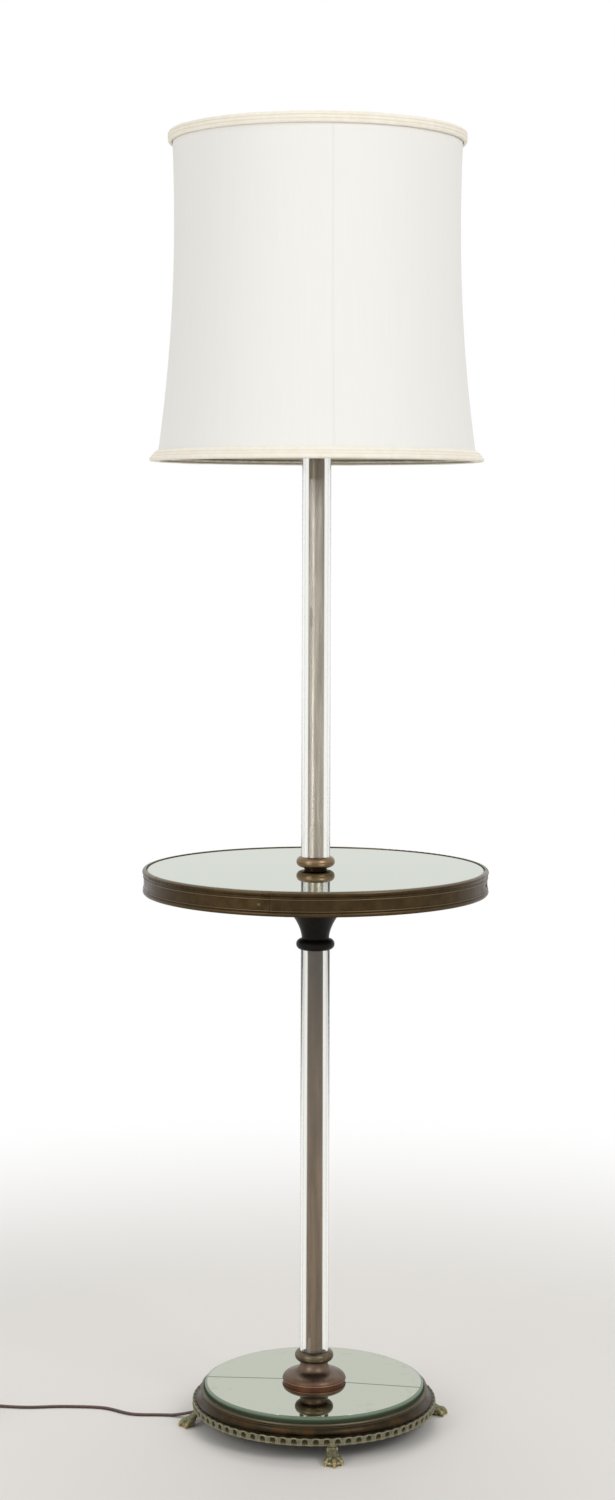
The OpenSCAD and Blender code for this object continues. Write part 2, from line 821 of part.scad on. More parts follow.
module cord_bushing() {
    color("#33241a") rotate(exit_heading) translate([exit_reach, 0, cord_exit[2]]) rotate([0, -90, 0]) {
        cylinder(r1 = 3.1, r2 = 4.1, h = 11.8);
        translate([0, 0, 11.8]) cylinder(r = 4.3, h = 6.6);
        translate([0, 0, 18.2]) cylinder(r = 5.4, h = 2.2);
        translate([0, 0, 20.4]) cylinder(r1 = 4.4, r2 = 3.4, h = 5.6);
    }
}

module power_cord() {
    color("#3b2418") sweep(cord_route, flat_lead_8);
}

// Centre of the lead after a number of layers: in on the first, out on the next,
// and up one layer in the half turn where the spiral reverses
function coil_point(s) =
    let (
        layer = min(coil_layers - 1, floor(s)),
        part = s - layer,
        span = coil_out_r - coil_in_r,
        r = layer % 2 == 0 ? coil_out_r - span * part : coil_in_r + span * part,
        a = coil_start + 360 * layer_turns * s,
        climbs = [for (k = [1 : coil_layers - 1]) smooth((s - k) * 2 * layer_turns + 0.5)],
        lift = layer_step * (climbs * [for (k = climbs) 1])
    )
    [coil_c[0] + r * cos(a), coil_c[1] + r * sin(a), coil_bottom_z + lift];

// Least gap between two turns, taken on the centres of rings over half a turn apart
function least_gap(path) = min([
    for (i = [0 : len(path) - 1], j = [i + 13 : 1 : len(path) - 1])
        let (d = path[j] - path[i])
        norm([max(0, norm([d[0], d[1]]) - 2 * flat_core), d[2]]) - cord_t
]);

module cord_coil() {
    rings = round(24 * coil_turns);
    turns = [for (i = [0 : rings]) coil_point(coil_layers * i / rings)];
    path = concat([coil_entry], turns, coil_tail);
    echo(least_gap_of_coil_mm = least_gap(path));
    color("#3b2418") sweep(path, flat_lead_6);
}

// Two paper-covered wire ties round the turns
module coil_ties() {
    mid = (coil_in_r + coil_out_r) / 2;
    half = (coil_out_r - coil_in_r + cord_w) / 2 + 0.35;
    high = coil_top_z + cord_t / 2 + 0.35;
    color("#d8d4c6") for (a = [120, 300]) translate([coil_c[0], coil_c[1], 0]) rotate(a)
        translate([0, 1.5, 0]) rotate([90, 0, 0]) linear_extrude(3) difference() {
            square_at(mid - half - tie_t, 0.02, 2 * half + 2 * tie_t, high + tie_t);
            square_at(mid - half, tie_t, 2 * half, high - tie_t);
        }
}

// Moulded two-pin plug lying beside the coil, its blades pointing away from the lead
module plug_body() {
    x = plug_at[0];
    y = plug_at[1];
    z = plug_at[2];
    color("#33241a") {
        translate([x, y, z]) rotate([90, 0, 0]) cylinder(r1 = 3.2, r2 = 4.4, h = 10);
        hull() {
            translate([x, y - 9, z]) rotate([90, 0, 0]) cylinder(r = 4.8, h = 1, $fn = 32);
            translate([x, y - 17, z]) for (s = [-1, 1]) translate([s * 5, 0, 0])
                rotate([90, 0, 0]) cylinder(r = 6, h = 11, $fn = 32);
        }
    }
}

module plug_blades() {
    color("#b9a25a") for (s = [-1, 1]) difference() {
        translate([plug_at[0] + s * 6.35 - 0.75, plug_at[1] - 45, plug_at[2] - 3.15])
            cube([1.5, 17, 6.3]);
        translate([plug_at[0] + s * 6.35 - 2, plug_at[1] - 41.5, plug_at[2]])
            rotate([0, 90, 0]) cylinder(r = 1.6, h = 4);
    }
}

// ---------------------------------------------------------------- drawing

for (i = [1 : 4])
    claw_foot(foot_angles[i - 1]);
foot_screws();
base_pan();
bead_gallery();
base_weight();
base_washer();
base_lock_nut();
mirror_pad();
base_mirror_half(-1);  // base_mirror_front
base_mirror_half(1);  // base_mirror_back
base_cap();
base_collar();
lower_glass_tube();
lower_stem();
threaded_pipe();
under_table_ring();
table_trumpet();
table_board();
table_band();
band_screws();
table_mirror();
table_collar();
upper_glass_tube();
upper_stem();
column_cap();
column_nut();
harp_saddle();
harp();
harp_sleeves();
harp_stud();
finial();
socket_cap();
socket_shell();
socket_liner();
socket_body();
switch_knob();
bulb_base();
bulb_glass();
inner_lead();
shade_top_frame();
shade_bottom_ring();
shade_ribs();
shade_cover();
shade_liner();
shade_trim_top();
shade_trim_bottom();
cord_clip();
cord_bushing();
power_cord();
cord_coil();
coil_ties();
plug_body();
plug_blades();
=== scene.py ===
# %% [markdown]
# # A floor lamp with a round mirror table
# The real lamp is a stack on one threaded pipe: a footed base with a mirror, a cap, a glass
# tube, a table, a second glass tube, and a shade on a harp. The construction comes in as a
# fixed frame, in metres, with the floor at Z = 0 and the pipe on the Z axis. The cells below
# keep the frame's pieces where their shape is right and give them a finish, and model again
# the pieces that need more: turned metal, cast feet, cloth and the lead.

import math

import bpy
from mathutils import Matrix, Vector


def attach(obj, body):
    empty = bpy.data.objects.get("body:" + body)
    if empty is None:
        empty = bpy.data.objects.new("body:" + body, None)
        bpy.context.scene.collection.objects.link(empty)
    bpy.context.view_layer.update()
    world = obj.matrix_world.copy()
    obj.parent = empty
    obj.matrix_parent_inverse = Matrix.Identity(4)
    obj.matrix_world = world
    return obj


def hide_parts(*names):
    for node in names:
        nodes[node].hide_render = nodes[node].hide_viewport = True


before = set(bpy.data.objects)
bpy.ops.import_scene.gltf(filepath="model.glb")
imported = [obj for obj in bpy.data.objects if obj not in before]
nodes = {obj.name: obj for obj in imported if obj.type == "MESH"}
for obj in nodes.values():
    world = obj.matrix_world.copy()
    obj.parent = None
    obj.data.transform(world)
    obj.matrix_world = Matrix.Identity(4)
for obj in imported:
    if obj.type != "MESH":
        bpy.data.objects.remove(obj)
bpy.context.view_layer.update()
MM = 0.001
print("frame nodes:", len(nodes))

# %% [markdown]
# ## Camera
# The photograph was taken level, from a height between the table and the shade, a little
# from the left. A level camera keeps the column upright, and a vertical shift frames it,
# which is how a view camera would do it. It is rolled by a sixth of a degree.

# %% Camera
EYE_DISTANCE = 3.069
EYE_HEIGHT = 1.056
EYE_TURN = math.radians(-8.2)
EYE_LEFT = 0.0107
LEAN = math.radians(-0.17)
FRAME_PX = 1500
FOCAL_PX = 2615
HORIZON_ABOVE_MIDDLE_PX = 230

forward = Vector((-math.sin(EYE_TURN), math.cos(EYE_TURN), 0))
right = Vector((math.cos(EYE_TURN), math.sin(EYE_TURN), 0))
bpy.ops.object.camera_add(
    location=Vector((0, 0, EYE_HEIGHT)) - forward * EYE_DISTANCE - right * EYE_LEFT,
    rotation=(math.pi / 2, LEAN, EYE_TURN),
)
camera = bpy.context.object
camera.data.lens = camera.data.sensor_width * FOCAL_PX / FRAME_PX
camera.data.shift_y = -HORIZON_ABOVE_MIDDLE_PX / FRAME_PX
bpy.context.scene.camera = camera
print("lens in mm:", round(camera.data.lens, 1))

# %% [markdown]
# ## Route of the lead
# The lead is a flat twin lead, two cores side by side, 5.3 mm wide. It leaves the bushing
# under the base, drops to the floor and runs out of the picture on the left, where the rest
# of it lies in a tied coil. The free stretch is a list of given points, and the
# coil is worked out: it winds in and out again, and climbs a layer where it reverses.

# %% Points of the lead
CORD_W = 5.3
CORD_T = 2.7
EXIT_HEADING = math.radians(169)
EXIT_REACH = 118
COIL_MIDDLE = (-418, 70)
COIL_IN_R = 21.3
COIL_START = 75
COIL_TURNS = 11 + 105 / 360
COIL_LAYERS = 4
COIL_BOTTOM = 2.5
TURN_STEP = CORD_W + 0.5
LAYER_STEP = CORD_T + 0.6
LAYER_TURNS = COIL_TURNS / COIL_LAYERS
LEAD_IN = 6

exit_point = Vector((EXIT_REACH * math.cos(EXIT_HEADING), EXIT_REACH * math.sin(EXIT_HEADING), 9))


def coil_point(s):
    """Centre of the lead after s layers of the coil."""
    layer = min(COIL_LAYERS - 1, math.floor(s))
    span = LAYER_TURNS * TURN_STEP
    out = (s - layer) if layer % 2 else 1 - (s - layer)
    radius = COIL_IN_R + span * out
    angle = math.radians(COIL_START) + math.tau * LAYER_TURNS * s
    climb = 0
    for k in range(1, COIL_LAYERS):
        t = min(1, max(0, (s - k) * 2 * LAYER_TURNS + 0.5))
        climb += t * t * (3 - 2 * t)
    x = COIL_MIDDLE[0] + radius * math.cos(angle)
    y = COIL_MIDDLE[1] + radius * math.sin(angle)
    return Vector((x, y, COIL_BOTTOM + LAYER_STEP * climb))


coil_heading = math.radians(COIL_START + 90)
coil_entry = coil_point(0) - LEAD_IN * Vector((math.cos(coil_heading), math.sin(coil_heading), 0))
floor_route = [
    exit_point, (-124, 24.1, 9), (-134, 26.1, 7.9), (-144, 28.2, 5.6), (-154, 30.7, 3.4),
    (-164, 33.9, 1.8), (-175, 37, 1.4), (-187, 39, 1.4), (-199, 41, 1.4), (-210, 44.5, 1.4),
    (-220, 51.5, 1.4), (-229, 60.5, 1.4), (-239, 68.8, 1.4), (-250, 73.8, 1.4),
    (-262, 76.9, 1.4), (-275, 79.6, 1.4), (-288, 81.8, 1.4), (-300, 83, 1.4),
    (-312, 83.4, 1.4), (-325, 84, 1.4), (-338, 86, 1.4), (-351, 89.4, 1.4),
    (-364, 93.4, 1.6), (-378, 97.9, 2.2),
    (-391, 101.77, 2.5), coil_entry,
]
coil_tail = [
    (-456, 64, 12.4), (-456.6, 58, 12.2), (-457.4, 52, 11.3), (-458.2, 46, 9.9),
    (-459, 40, 8.4), (-459.5, 34, 7.1), (-459.5, 28, 6.4), (-459.5, 22, 6.2),
    (-459.5, 16, 6.2),
]
coil_rings = round(24 * COIL_TURNS)
coil = [coil_point(COIL_LAYERS * i / coil_rings) for i in range(coil_rings + 1)]
route = [Vector(p) * MM for p in floor_route + coil + coil_tail]
print("points on the lead's route:", len(route))

# %% [markdown]
# ## The lead itself
# A smooth curve goes through the route's points, and the lead's section, two round cores with
# a groove between them, is carried along it with its width kept level, as a flat lead lies.

# %% The lead's tube
CORE_R = CORD_T / 2
CORE_X = (CORD_W - CORD_T) / 2


def smooth_through(points, parts):
    """A Catmull-Rom curve through the points, with that many parts between two of them."""
    line = []
    for i in range(len(points) - 1):
        a, b, c, d = (points[min(max(k, 0), len(points) - 1)] for k in range(i - 1, i + 3))
        for j in range(parts):
            t = j / parts
            line.append(0.5 * (2 * b + (c - a) * t + (2 * a - 5 * b + 4 * c - d) * t**2
                               + (3 * b - a - 3 * c + d) * t**3))
    return line + [points[-1]]


def from_points(name, verts, faces):
    """A piece made from points, in metres, and the faces between them."""
    mesh = bpy.data.meshes.new(name)
    mesh.from_pydata(verts, [], faces)
    piece = bpy.data.objects.new(name, mesh)
    bpy.context.collection.objects.link(piece)
    return piece


def sweep(name, line, section):
    """A closed tube with that section, in mm, along a line of points in metres."""
    up = Vector((0, 0, 1))
    verts = []
    for i, point in enumerate(line):
        along = (line[min(i + 1, len(line) - 1)] - line[max(i - 1, 0)]).normalized()
        side = up.cross(along).normalized()
        verts += [point + MM * (x * side + y * along.cross(side)) for x, y in section]
    n = len(section)
    faces = [tuple(range(n))[::-1], tuple(range(len(verts) - n, len(verts)))]
    for i in range(len(line) - 1):
        for k in range(n):
            a, b = i * n + k, i * n + (k + 1) % n
            faces.append((a, b, b + n, a + n))
    piece = from_points(name, verts, faces)
    piece.data.shade_smooth()
    return piece


right_core = [math.radians(a) for a in range(-126, 127, 36)]
lead_section = [(CORE_X + CORE_R * math.cos(a), CORE_R * math.sin(a)) for a in right_core]
lead_section += [(-x, -y) for x, y in lead_section]
lead_line = smooth_through(route, 4)
lead = sweep("lead", lead_line, lead_section)
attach(lead, "root")
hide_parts("power_cord", "cord_coil")

# %% [markdown]
# ## Colours and nodes
# Colours are written as sRGB hex values, the way a colour card gives them, and one function
# turns them into the linear values that Blender computes with. The others add shader nodes.
# On a Mix node input 0 is the share. It mixes the numbers of inputs 2 and 3 into output 0, or
# the colours of inputs 6 and 7 into output 2.

# %% Helpers for colours and nodes


def rgb(hex_code):
    """The linear colour of an sRGB hex value such as c8bfae."""
    values = [int(hex_code[i:i + 2], 16) / 255 for i in (0, 2, 4)]
    linear = [v / 12.92 if v <= 0.04045 else ((v + 0.055) / 1.055) ** 2.4 for v in values]
    return (*linear, 1)


def add(tree, kind, inputs=None, **settings):
    """Adds a node with its settings; an input is a value, or a socket to link from."""
    node = tree.nodes.new("ShaderNode" + kind)
    for name, value in settings.items():
        setattr(node, name, value)
    for name, value in (inputs or {}).items():
        if isinstance(value, bpy.types.NodeSocket):
            tree.links.new(value, node.inputs[name])
        else:
            node.inputs[name].default_value = value
    return node


def new_material(name, inputs=()):
    """A material with these inputs, its node tree, its shader and its Object coordinates."""
    material = bpy.data.materials.new(name)
    material.use_nodes = True
    tree = material.node_tree
    shader = tree.nodes["Principled BSDF"]
    for label, value in dict(inputs).items():
        shader.inputs[label].default_value = value
    return material, tree, shader, add(tree, "TexCoord").outputs["Object"]


def paint(tree, shader, colour):
    """Gives the shader its colour."""
    tree.links.new(colour, shader.inputs["Base Color"])


def finish(piece, material):
    """Gives a piece or a frame node one material."""
    for slot in piece.material_slots:
        slot.material = material
    if not piece.material_slots:
        piece.data.materials.append(material)


# %% Helpers for patterns


def reach_at(tree, place):
    """The distance of a place from the pipe's axis, in metres."""
    flat = add(tree, "VectorMath", {0: place, 1: (1, 1, 0)}, operation="MULTIPLY").outputs[0]
    return add(tree, "VectorMath", {0: flat}, operation="LENGTH").outputs["Value"]


def by_height(tree, place, colour, other, start, end, share=1):
    """Goes from one colour to a share of another between two heights, in mm."""
    height = add(tree, "SeparateXYZ", {0: place}).outputs["Z"]
    part = add(tree, "MapRange", {
        "Value": height, "From Min": start * MM, "From Max": end * MM, "To Max": share,
    }).outputs[0]
    return add(tree, "Mix", {0: part, 6: colour, 7: rgb(other)}, data_type="RGBA").outputs[2]


def line_at(tree, place, colour, other, middle, wide, narrow, share):
    """A line of another colour at a height, full within narrow and gone at wide, in mm."""
    height = add(tree, "SeparateXYZ", {0: place}).outputs["Z"]
    off = add(tree, "Math", {0: height, 1: middle * MM}, operation="SUBTRACT").outputs[0]
    off = add(tree, "Math", {0: off}, operation="ABSOLUTE").outputs[0]
    part = add(tree, "MapRange", {
        "Value": off, "From Min": wide * MM, "From Max": narrow * MM, "To Max": share,
    }).outputs[0]
    return add(tree, "Mix", {0: part, 6: colour, 7: rgb(other)}, data_type="RGBA").outputs[2]


def grain_bump(tree, shader, place, grain, detail, relief, strength):
    """A fine noise as bump; grain and relief are in mm."""
    fine = add(tree, "TexNoise", {"Vector": place, "Scale": 1 / (grain * MM), "Detail": detail})
    bump = add(tree, "Bump", {"Height": fine.outputs[0], "Distance": relief * MM,
                              "Strength": strength}).outputs[0]
    tree.links.new(bump, shader.inputs["Normal"])


# %% [markdown]
# ## Studio
# A pale floor holds the lamp's shadow. Away from the lamp it fades to white for the camera,
# for reflections and for what shows through glass, so that no horizon is seen. The lamps are
# large and soft: the key from the right of the camera, a weaker fill from the left, and one
# from above and behind.

# %% Floor
FLOOR_SIZE = 14
SHADOW_KEPT = 0.45
SHADOW_GONE = 1.6


def looked_at(tree):
    """One for rays of the camera, of reflections and through glass, else nought."""
    rays = add(tree, "LightPath").outputs
    seen = add(tree, "Math", {0: rays["Is Camera Ray"], 1: rays["Is Glossy Ray"]},
               operation="MAXIMUM").outputs[0]
    return add(tree, "Math", {0: seen, 1: rays["Is Transmission Ray"]},
               operation="MAXIMUM").outputs[0]


bpy.ops.object.select_all(action="DESELECT")
bpy.ops.mesh.primitive_circle_add(vertices=96, radius=FLOOR_SIZE / 2, fill_type="NGON")
floor = bpy.context.object
floor.name = "studio_floor"

material, tree, shader, place = new_material(
    "matt painted floor", {"Base Color": rgb("e2dfda"), "Roughness": 0.8})
distance = add(tree, "VectorMath", {0: place}, operation="LENGTH").outputs["Value"]
fade = add(tree, "MapRange", {
    "Value": distance, "From Min": SHADOW_KEPT, "From Max": SHADOW_GONE,
}, interpolation_type="SMOOTHSTEP").outputs[0]
white = add(tree, "Emission", {"Color": rgb("ffffff"), "Strength": 1.0}).outputs[0]
fade = add(tree, "Math", {0: fade, 1: looked_at(tree)}, operation="MULTIPLY").outputs[0]
mixed = add(tree, "MixShader", {0: fade, 1: shader.outputs[0], 2: white}).outputs[0]
tree.links.new(mixed, tree.nodes["Material Output"].inputs["Surface"])
finish(floor, material)

# %% Light
WORLD_LIGHT = 0.62
LIT_POINT = Vector((0, 0, 0.8))
world = bpy.data.worlds.new("studio")
world.use_nodes = True
bpy.context.scene.world = world
tree = world.node_tree
strength = add(tree, "MapRange", {"Value": looked_at(tree), "To Min": WORLD_LIGHT}).outputs[0]
tree.links.new(strength, tree.nodes["Background"].inputs["Strength"])
tree.nodes["Background"].inputs["Color"].default_value = rgb("ffffff")

for name, place, size, watts in (
    ("key", (1.5, -2.3, 2.3), 1.3, 27),
    ("fill", (-2.1, -1.7, 1.5), 1.3, 17),
    ("top", (0.2, 1.4, 3.0), 1.6, 22),
):
    bpy.ops.object.light_add(type="AREA", location=place)
    lamp = bpy.context.object
    lamp.name = name
    lamp.data.size = size
    lamp.data.energy = watts
    lamp.rotation_euler = (LIT_POINT - Vector(place)).to_track_quat("-Z", "Y").to_euler()

bpy.context.scene.view_settings.view_transform = "Standard"

# %% [markdown]
# ## Old metal
# Most of the lamp is metal that has aged: lacquer has gone in patches, and in places the
# hollows are painted darker, part grime and patina and part painted shade, and the edges
# lighter, part rubbed metal and part painted highlight. One recipe serves all of it: two colours
# in soft patches, a roughness that follows them, and a fine grain as bump. What differs from
# metal to metal is the two colours and the size of the patches in millimetres.

# %% Recipe for old metal


def old_metal(name, main, other, patch, rough, grain=0.8, relief=0.02, share=0.5,
              stretch=(1, 1, 1), soft=0.1, metallic=1):
    """Two colours of one metal in patches; patch, grain and relief are in mm."""
    material, tree, shader, place = new_material(name, {"Metallic": metallic})
    drawn = add(tree, "Mapping", {"Vector": place, "Scale": stretch}).outputs[0]
    middle = 0.62 - 0.24 * share
    spread = add(tree, "TexNoise", {
        "Vector": drawn, "Scale": 1 / (patch * MM), "Detail": 5, "Roughness": 0.62,
    }).outputs[0]
    part = add(tree, "MapRange", {
        "Value": spread, "From Min": middle - soft, "From Max": middle + soft,
    }).outputs[0]
    colour = add(tree, "Mix", {0: part, 6: rgb(main), 7: rgb(other)}, data_type="RGBA").outputs[2]
    paint(tree, shader, colour)
    dull = add(tree, "MapRange", {"Value": part, "To Min": rough[0], "To Max": rough[1]})
    tree.links.new(dull.outputs[0], shader.inputs["Roughness"])
    grain_bump(tree, shader, place, grain, 3, relief, 0.6)
    return material, tree, shader, place, colour


# %% [markdown]
# ## Finishes of the fittings that stay as they are
# The nuts, washers, socket and frame come from the construction with the right shape, so
# they only need a finish. Each metal is named for what it is and how it was made.

# %% Metals of the small fittings
# Zinc-plated steel: cold grey, with dull spots where the plating has gone
zinc = old_metal("zinc-plated steel", "a9acad", "8b8d8c", 2.5, (0.32, 0.5))[0]
# Drawn steel pipe: darker, smooth and slightly oily
drawn_steel = old_metal("drawn steel pipe", "9a978f", "7d7870", 3, (0.28, 0.42))[0]
# Cast iron weight: rough from the sand mould and painted black long ago
cast_iron = old_metal("sand-cast iron", "34322f", "4a3d33", 4, (0.62, 0.8), 1.2, 0.15)[0]
# Brass under lacquer that has yellowed: warm, with sharp reflections
brass = old_metal("lacquered brass", "b09a64", "927d4a", 6, (0.18, 0.32))[0]
# Brass strip of the plug's blades: brighter and yellower, with a fine grain
blade_brass = old_metal("cold-rolled brass strip", "c8ac62", "a98d4a", 2, (0.2, 0.34))[0]
# Screws of the feet: steel gone brown
rusty_steel = old_metal("browned steel screw", "6f6a5c", "5a4636", 1.5, (0.4, 0.6))[0]
# Aluminium screw cap of the bulb
aluminium = old_metal("pressed aluminium", "c9cbcc", "b4b6b7", 5, (0.25, 0.38))[0]
# Wire of the shade frame: an off-white dip coat, so it isn't metal to the eye
frame_wire = old_metal(
    "white dip-coated wire", "d3cebf", "bdb6a2", 12, (0.4, 0.5), 1.5, metallic=0)[0]


def finish_nodes(names, material):
    """Gives one material to frame nodes that stay as they are."""
    for name in names.split():
        finish(nodes[name], material)
    print(material.name, "on", len(names.split()), "nodes")


finish_nodes("base_washer base_lock_nut column_nut cord_clip", zinc)
finish_nodes("threaded_pipe", drawn_steel)
finish_nodes("base_weight", cast_iron)
finish_nodes("harp_saddle harp_sleeves harp_stud socket_cap socket_shell", brass)
finish_nodes("plug_blades", blade_brass)
finish_nodes("foot_screws", rusty_steel)
finish_nodes("bulb_base", aluminium)
finish_nodes("shade_top_frame shade_bottom_ring shade_ribs", frame_wire)

# %% [markdown]
# ## Fibre, phenolic, felt, paper and wood
# The other small parts aren't metal. Each is one coloured material with the texture that its
# making leaves: pressed fibre is mottled, phenolic is glossy and swirled, felt is hairy.

# %% Finishes that aren't metal


def plain_stuff(name, main, other, patch, rough, grain, relief, stretch=(1, 1, 1), also=()):
    """A non-metal in two close colours, sizes in mm; also holds more inputs of the shader."""
    inputs = {"Roughness": rough, **dict(also)}
    material, tree, shader, place = new_material(name, inputs)
    drawn = add(tree, "Mapping", {"Vector": place, "Scale": stretch}).outputs[0]
    spread = add(tree, "TexNoise", {
        "Vector": drawn, "Scale": 1 / (patch * MM), "Detail": 5}).outputs[0]
    part = add(tree, "MapRange", {"Value": spread, "From Min": 0.35, "From Max": 0.65}).outputs[0]
    colour = add(tree, "Mix", {0: part, 6: rgb(main), 7: rgb(other)}, data_type="RGBA").outputs[2]
    paint(tree, shader, colour)
    grain_bump(tree, shader, drawn, grain, 4, relief, 0.7)
    return material, tree, shader, place, colour


# Vulcanised fibre sleeve of the socket: brown, matt, slightly mottled
fibre = plain_stuff("vulcanised fibre", "4a3424", "5d4430", 3, 0.7, 0.5, 0.03)[0]
# Phenolic of the switch, socket body, bushing and plug: nearly black, moulded glossy
phenolic = plain_stuff("moulded phenolic", "2b2320", "38291f", 6, 0.24, 1, 0.004)[0]
# Pad under the mirror: hard green felt, a little hairy
felt = plain_stuff("pressed felt", "3a4a3a", "2c3a2e", 1.6, 0.95, 0.4, 0.15)[0]
# Twist ties: kraft paper over wire, creased across
paper = plain_stuff("paper-covered wire", "d8d4c6", "c3bda9", 1.5, 0.8, 0.6, 0.06)[0]
# Lead: brown vinyl, satin, with a very fine moulded grain
vinyl = plain_stuff("brown vinyl", "3a2318", "4c3020", 5, 0.42, 0.7, 0.012)[0]
# Board under the table mirror: birch plywood stained brown, its grain along X
wood = plain_stuff("stained birch plywood", "6b4a2f", "4b3019", 2.2, 0.55, 0.9, 0.05,
                   (0.06, 1, 1))[0]

finish_nodes("socket_liner", fibre)
finish_nodes("socket_body switch_knob cord_bushing plug_body", phenolic)
finish_nodes("mirror_pad", felt)
finish_nodes("coil_ties", paper)
finish_nodes("inner_lead", vinyl)
finish_nodes("table_board", wood)
finish(lead, vinyl)

# %% [markdown]
# ## Modelling tools
# Most of the new pieces are turned work: an outline spun round the pipe's axis, as a lathe or
# a spinning chuck makes it. First come small helpers that open, change and close a piece, and
# give it its material and its body. Then comes the lathe, which draws the outline by extruding
# one point, spins it and closes the seam. The last tool draws an arc for an outline.

# %% Start, change, close and finish a piece


def pick(piece):
    """Selects a piece alone and makes it the active one."""
    bpy.ops.object.select_all(action="DESELECT")
    piece.select_set(True)
    bpy.context.view_layer.objects.active = piece


def modify(piece, kind, **settings):
    """Adds a modifier with its settings and applies it."""
    modifier = piece.modifiers.new(kind.lower(), kind)
    for name, value in settings.items():
        setattr(modifier, name, value)
    bpy.context.view_layer.objects.active = piece
    bpy.ops.object.modifier_apply(modifier=modifier.name)


def start(kind, name, **where):
    """Adds a primitive alone and opens it for editing, all of it selected."""
    bpy.ops.object.select_all(action="DESELECT")
    getattr(bpy.ops.mesh, f"primitive_{kind}_add")(**where)
    piece = bpy.context.object
    piece.name = piece.data.name = name
    bpy.ops.object.transform_apply(location=True, rotation=True, scale=True)
    bpy.ops.object.mode_set(mode="EDIT")
    return piece


def close_up(piece, smooth=35):
    """Merges doubles, turns the faces outwards and smooths edges below an angle."""
    bpy.ops.mesh.select_all(action="SELECT")
    bpy.ops.mesh.remove_doubles(threshold=0.001 * MM)
    bpy.ops.mesh.normals_make_consistent(inside=False)
    bpy.ops.object.mode_set(mode="OBJECT")
    bpy.ops.object.shade_smooth_by_angle(angle=math.radians(smooth))
    return piece


def hand_in(piece, body, slot, material, *replaced):
    """Gives the piece its material and its body, and hides the frame nodes that it replaces."""
    finish(piece, material)
    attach(piece, body)
    if replaced:
        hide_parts(*replaced)
    print(piece.name, "has", len(piece.data.polygons), "faces")


# %% Lathe and arc


def lathe(name, outline, base=0, steps=128, smooth=35):
    """Spins an outline, points of radius and height over base in mm, round the Z axis."""
    piece = start("plane", name, size=MM)
    bpy.ops.mesh.merge(type="CENTER")
    r, z = outline[0]
    bpy.ops.transform.translate(value=(r * MM, 0, (z + base) * MM))
    for (r0, z0), (r1, z1) in zip(outline, outline[1:]):
        bpy.ops.mesh.extrude_vertices_move(
            TRANSFORM_OT_translate={"value": ((r1 - r0) * MM, 0, (z1 - z0) * MM)})
    bpy.ops.mesh.select_all(action="SELECT")
    bpy.ops.mesh.spin(steps=steps, angle=math.tau, center=(0, 0, 0), axis=(0, 0, 1))
    return close_up(piece, smooth)


def arc(r, z, radius, start_angle, end_angle, parts):
    """Points of an arc round a middle point; radii in mm, angles in degrees."""
    points = []
    for i in range(parts + 1):
        a = math.radians(start_angle + (end_angle - start_angle) * i / parts)
        points.append((r + radius * math.cos(a), z + radius * math.sin(a)))
    return points


# %% [markdown]
# ## Claw feet
# Each foot is a small brass casting: a fluted leg that bends out from under the pan, and
# three toes whose claws curl down to the floor. A casting has no sharp inner corners, so the
# foot is built as a sculptor builds one in wax: a chain of balls for each limb, melted
# together by a voxel remesh and smoothed. It is made once and copied round the base.

# %% Model one foot
SKIRT_R = 138.2
BASE_Z = 19
REACH = 160
TAB_SCREW_R = 130.5


def limb(points, per_part=4):
    """Balls along a path; a point is x, y, z and the ball's three radii, all in mm."""
    for a, b in zip(points, points[1:]):
        for i in range(per_part + 1):
            t = i / per_part
            x, y, z, rx, ry, rz = (p + (q - p) * t for p, q in zip(a, b))
            bpy.ops.mesh.primitive_ico_sphere_add(
                subdivisions=2, radius=1.03 * MM,
                location=(x * MM, y * MM, z * MM), scale=(rx, ry, rz))


foot = start("cube", "claw_foot_cast", size=MM,
             location=((TAB_SCREW_R + 2) * MM, 0, (BASE_Z - 1.5) * MM), scale=(13, 11, 3))
limb([(SKIRT_R - 1, 0, 18, 3.4, 6.6, 3), (SKIRT_R + 1, 0, 13.5, 3.4, 6.2, 3.4),
      (SKIRT_R + 4.5, 0, 10, 4, 6.6, 4), (SKIRT_R + 8.5, 0, 6.6, 5, 8, 4.2)])
limb([(SKIRT_R - 0.8, 0, 18.4, 4.6, 7.2, 0.9), (SKIRT_R - 0.6, 0, 17.6, 4.6, 7.1, 0.9)], 2)
for y in (-5.6, -1.9, 1.9, 5.6):
    limb([(SKIRT_R + 1.4, y, 15.8, 1.6, 1.3, 1.2), (SKIRT_R + 3.4, y * 0.96, 12.4, 1.5, 1.25, 1.2),
          (SKIRT_R + 7, y * 1.04, 10.2, 1.5, 1.2, 1.2)])
limb([(SKIRT_R + 7, 0, 4.6, 5, 8.6, 4.4), (REACH - 9, 0, 3.2, 5, 8.6, 3)])
for root, tip, reach in ((-5, -8.8, REACH - 6), (0, 0, REACH), (5, 8.8, REACH - 6)):
    limb([(reach - 12, root, 8, 2.8, 2.6, 2.6), (reach - 6.5, (root + tip) / 2, 6.6, 3, 2.8, 2.6),
          (reach - 3.6, tip, 4, 2.7, 2.7, 2.7)])
    limb([(reach - 3, tip, 3, 2.4, 2.3, 2.4), (reach - 1.7, tip * 1.02, 1.7, 1.6, 1.6, 1.6)])
bpy.ops.object.mode_set(mode="OBJECT")
modify(foot, "REMESH", mode="VOXEL", voxel_size=0.36 * MM)
modify(foot, "SMOOTH", factor=0.5, iterations=3)
print("foot after the remesh:", len(foot.data.polygons), "faces")

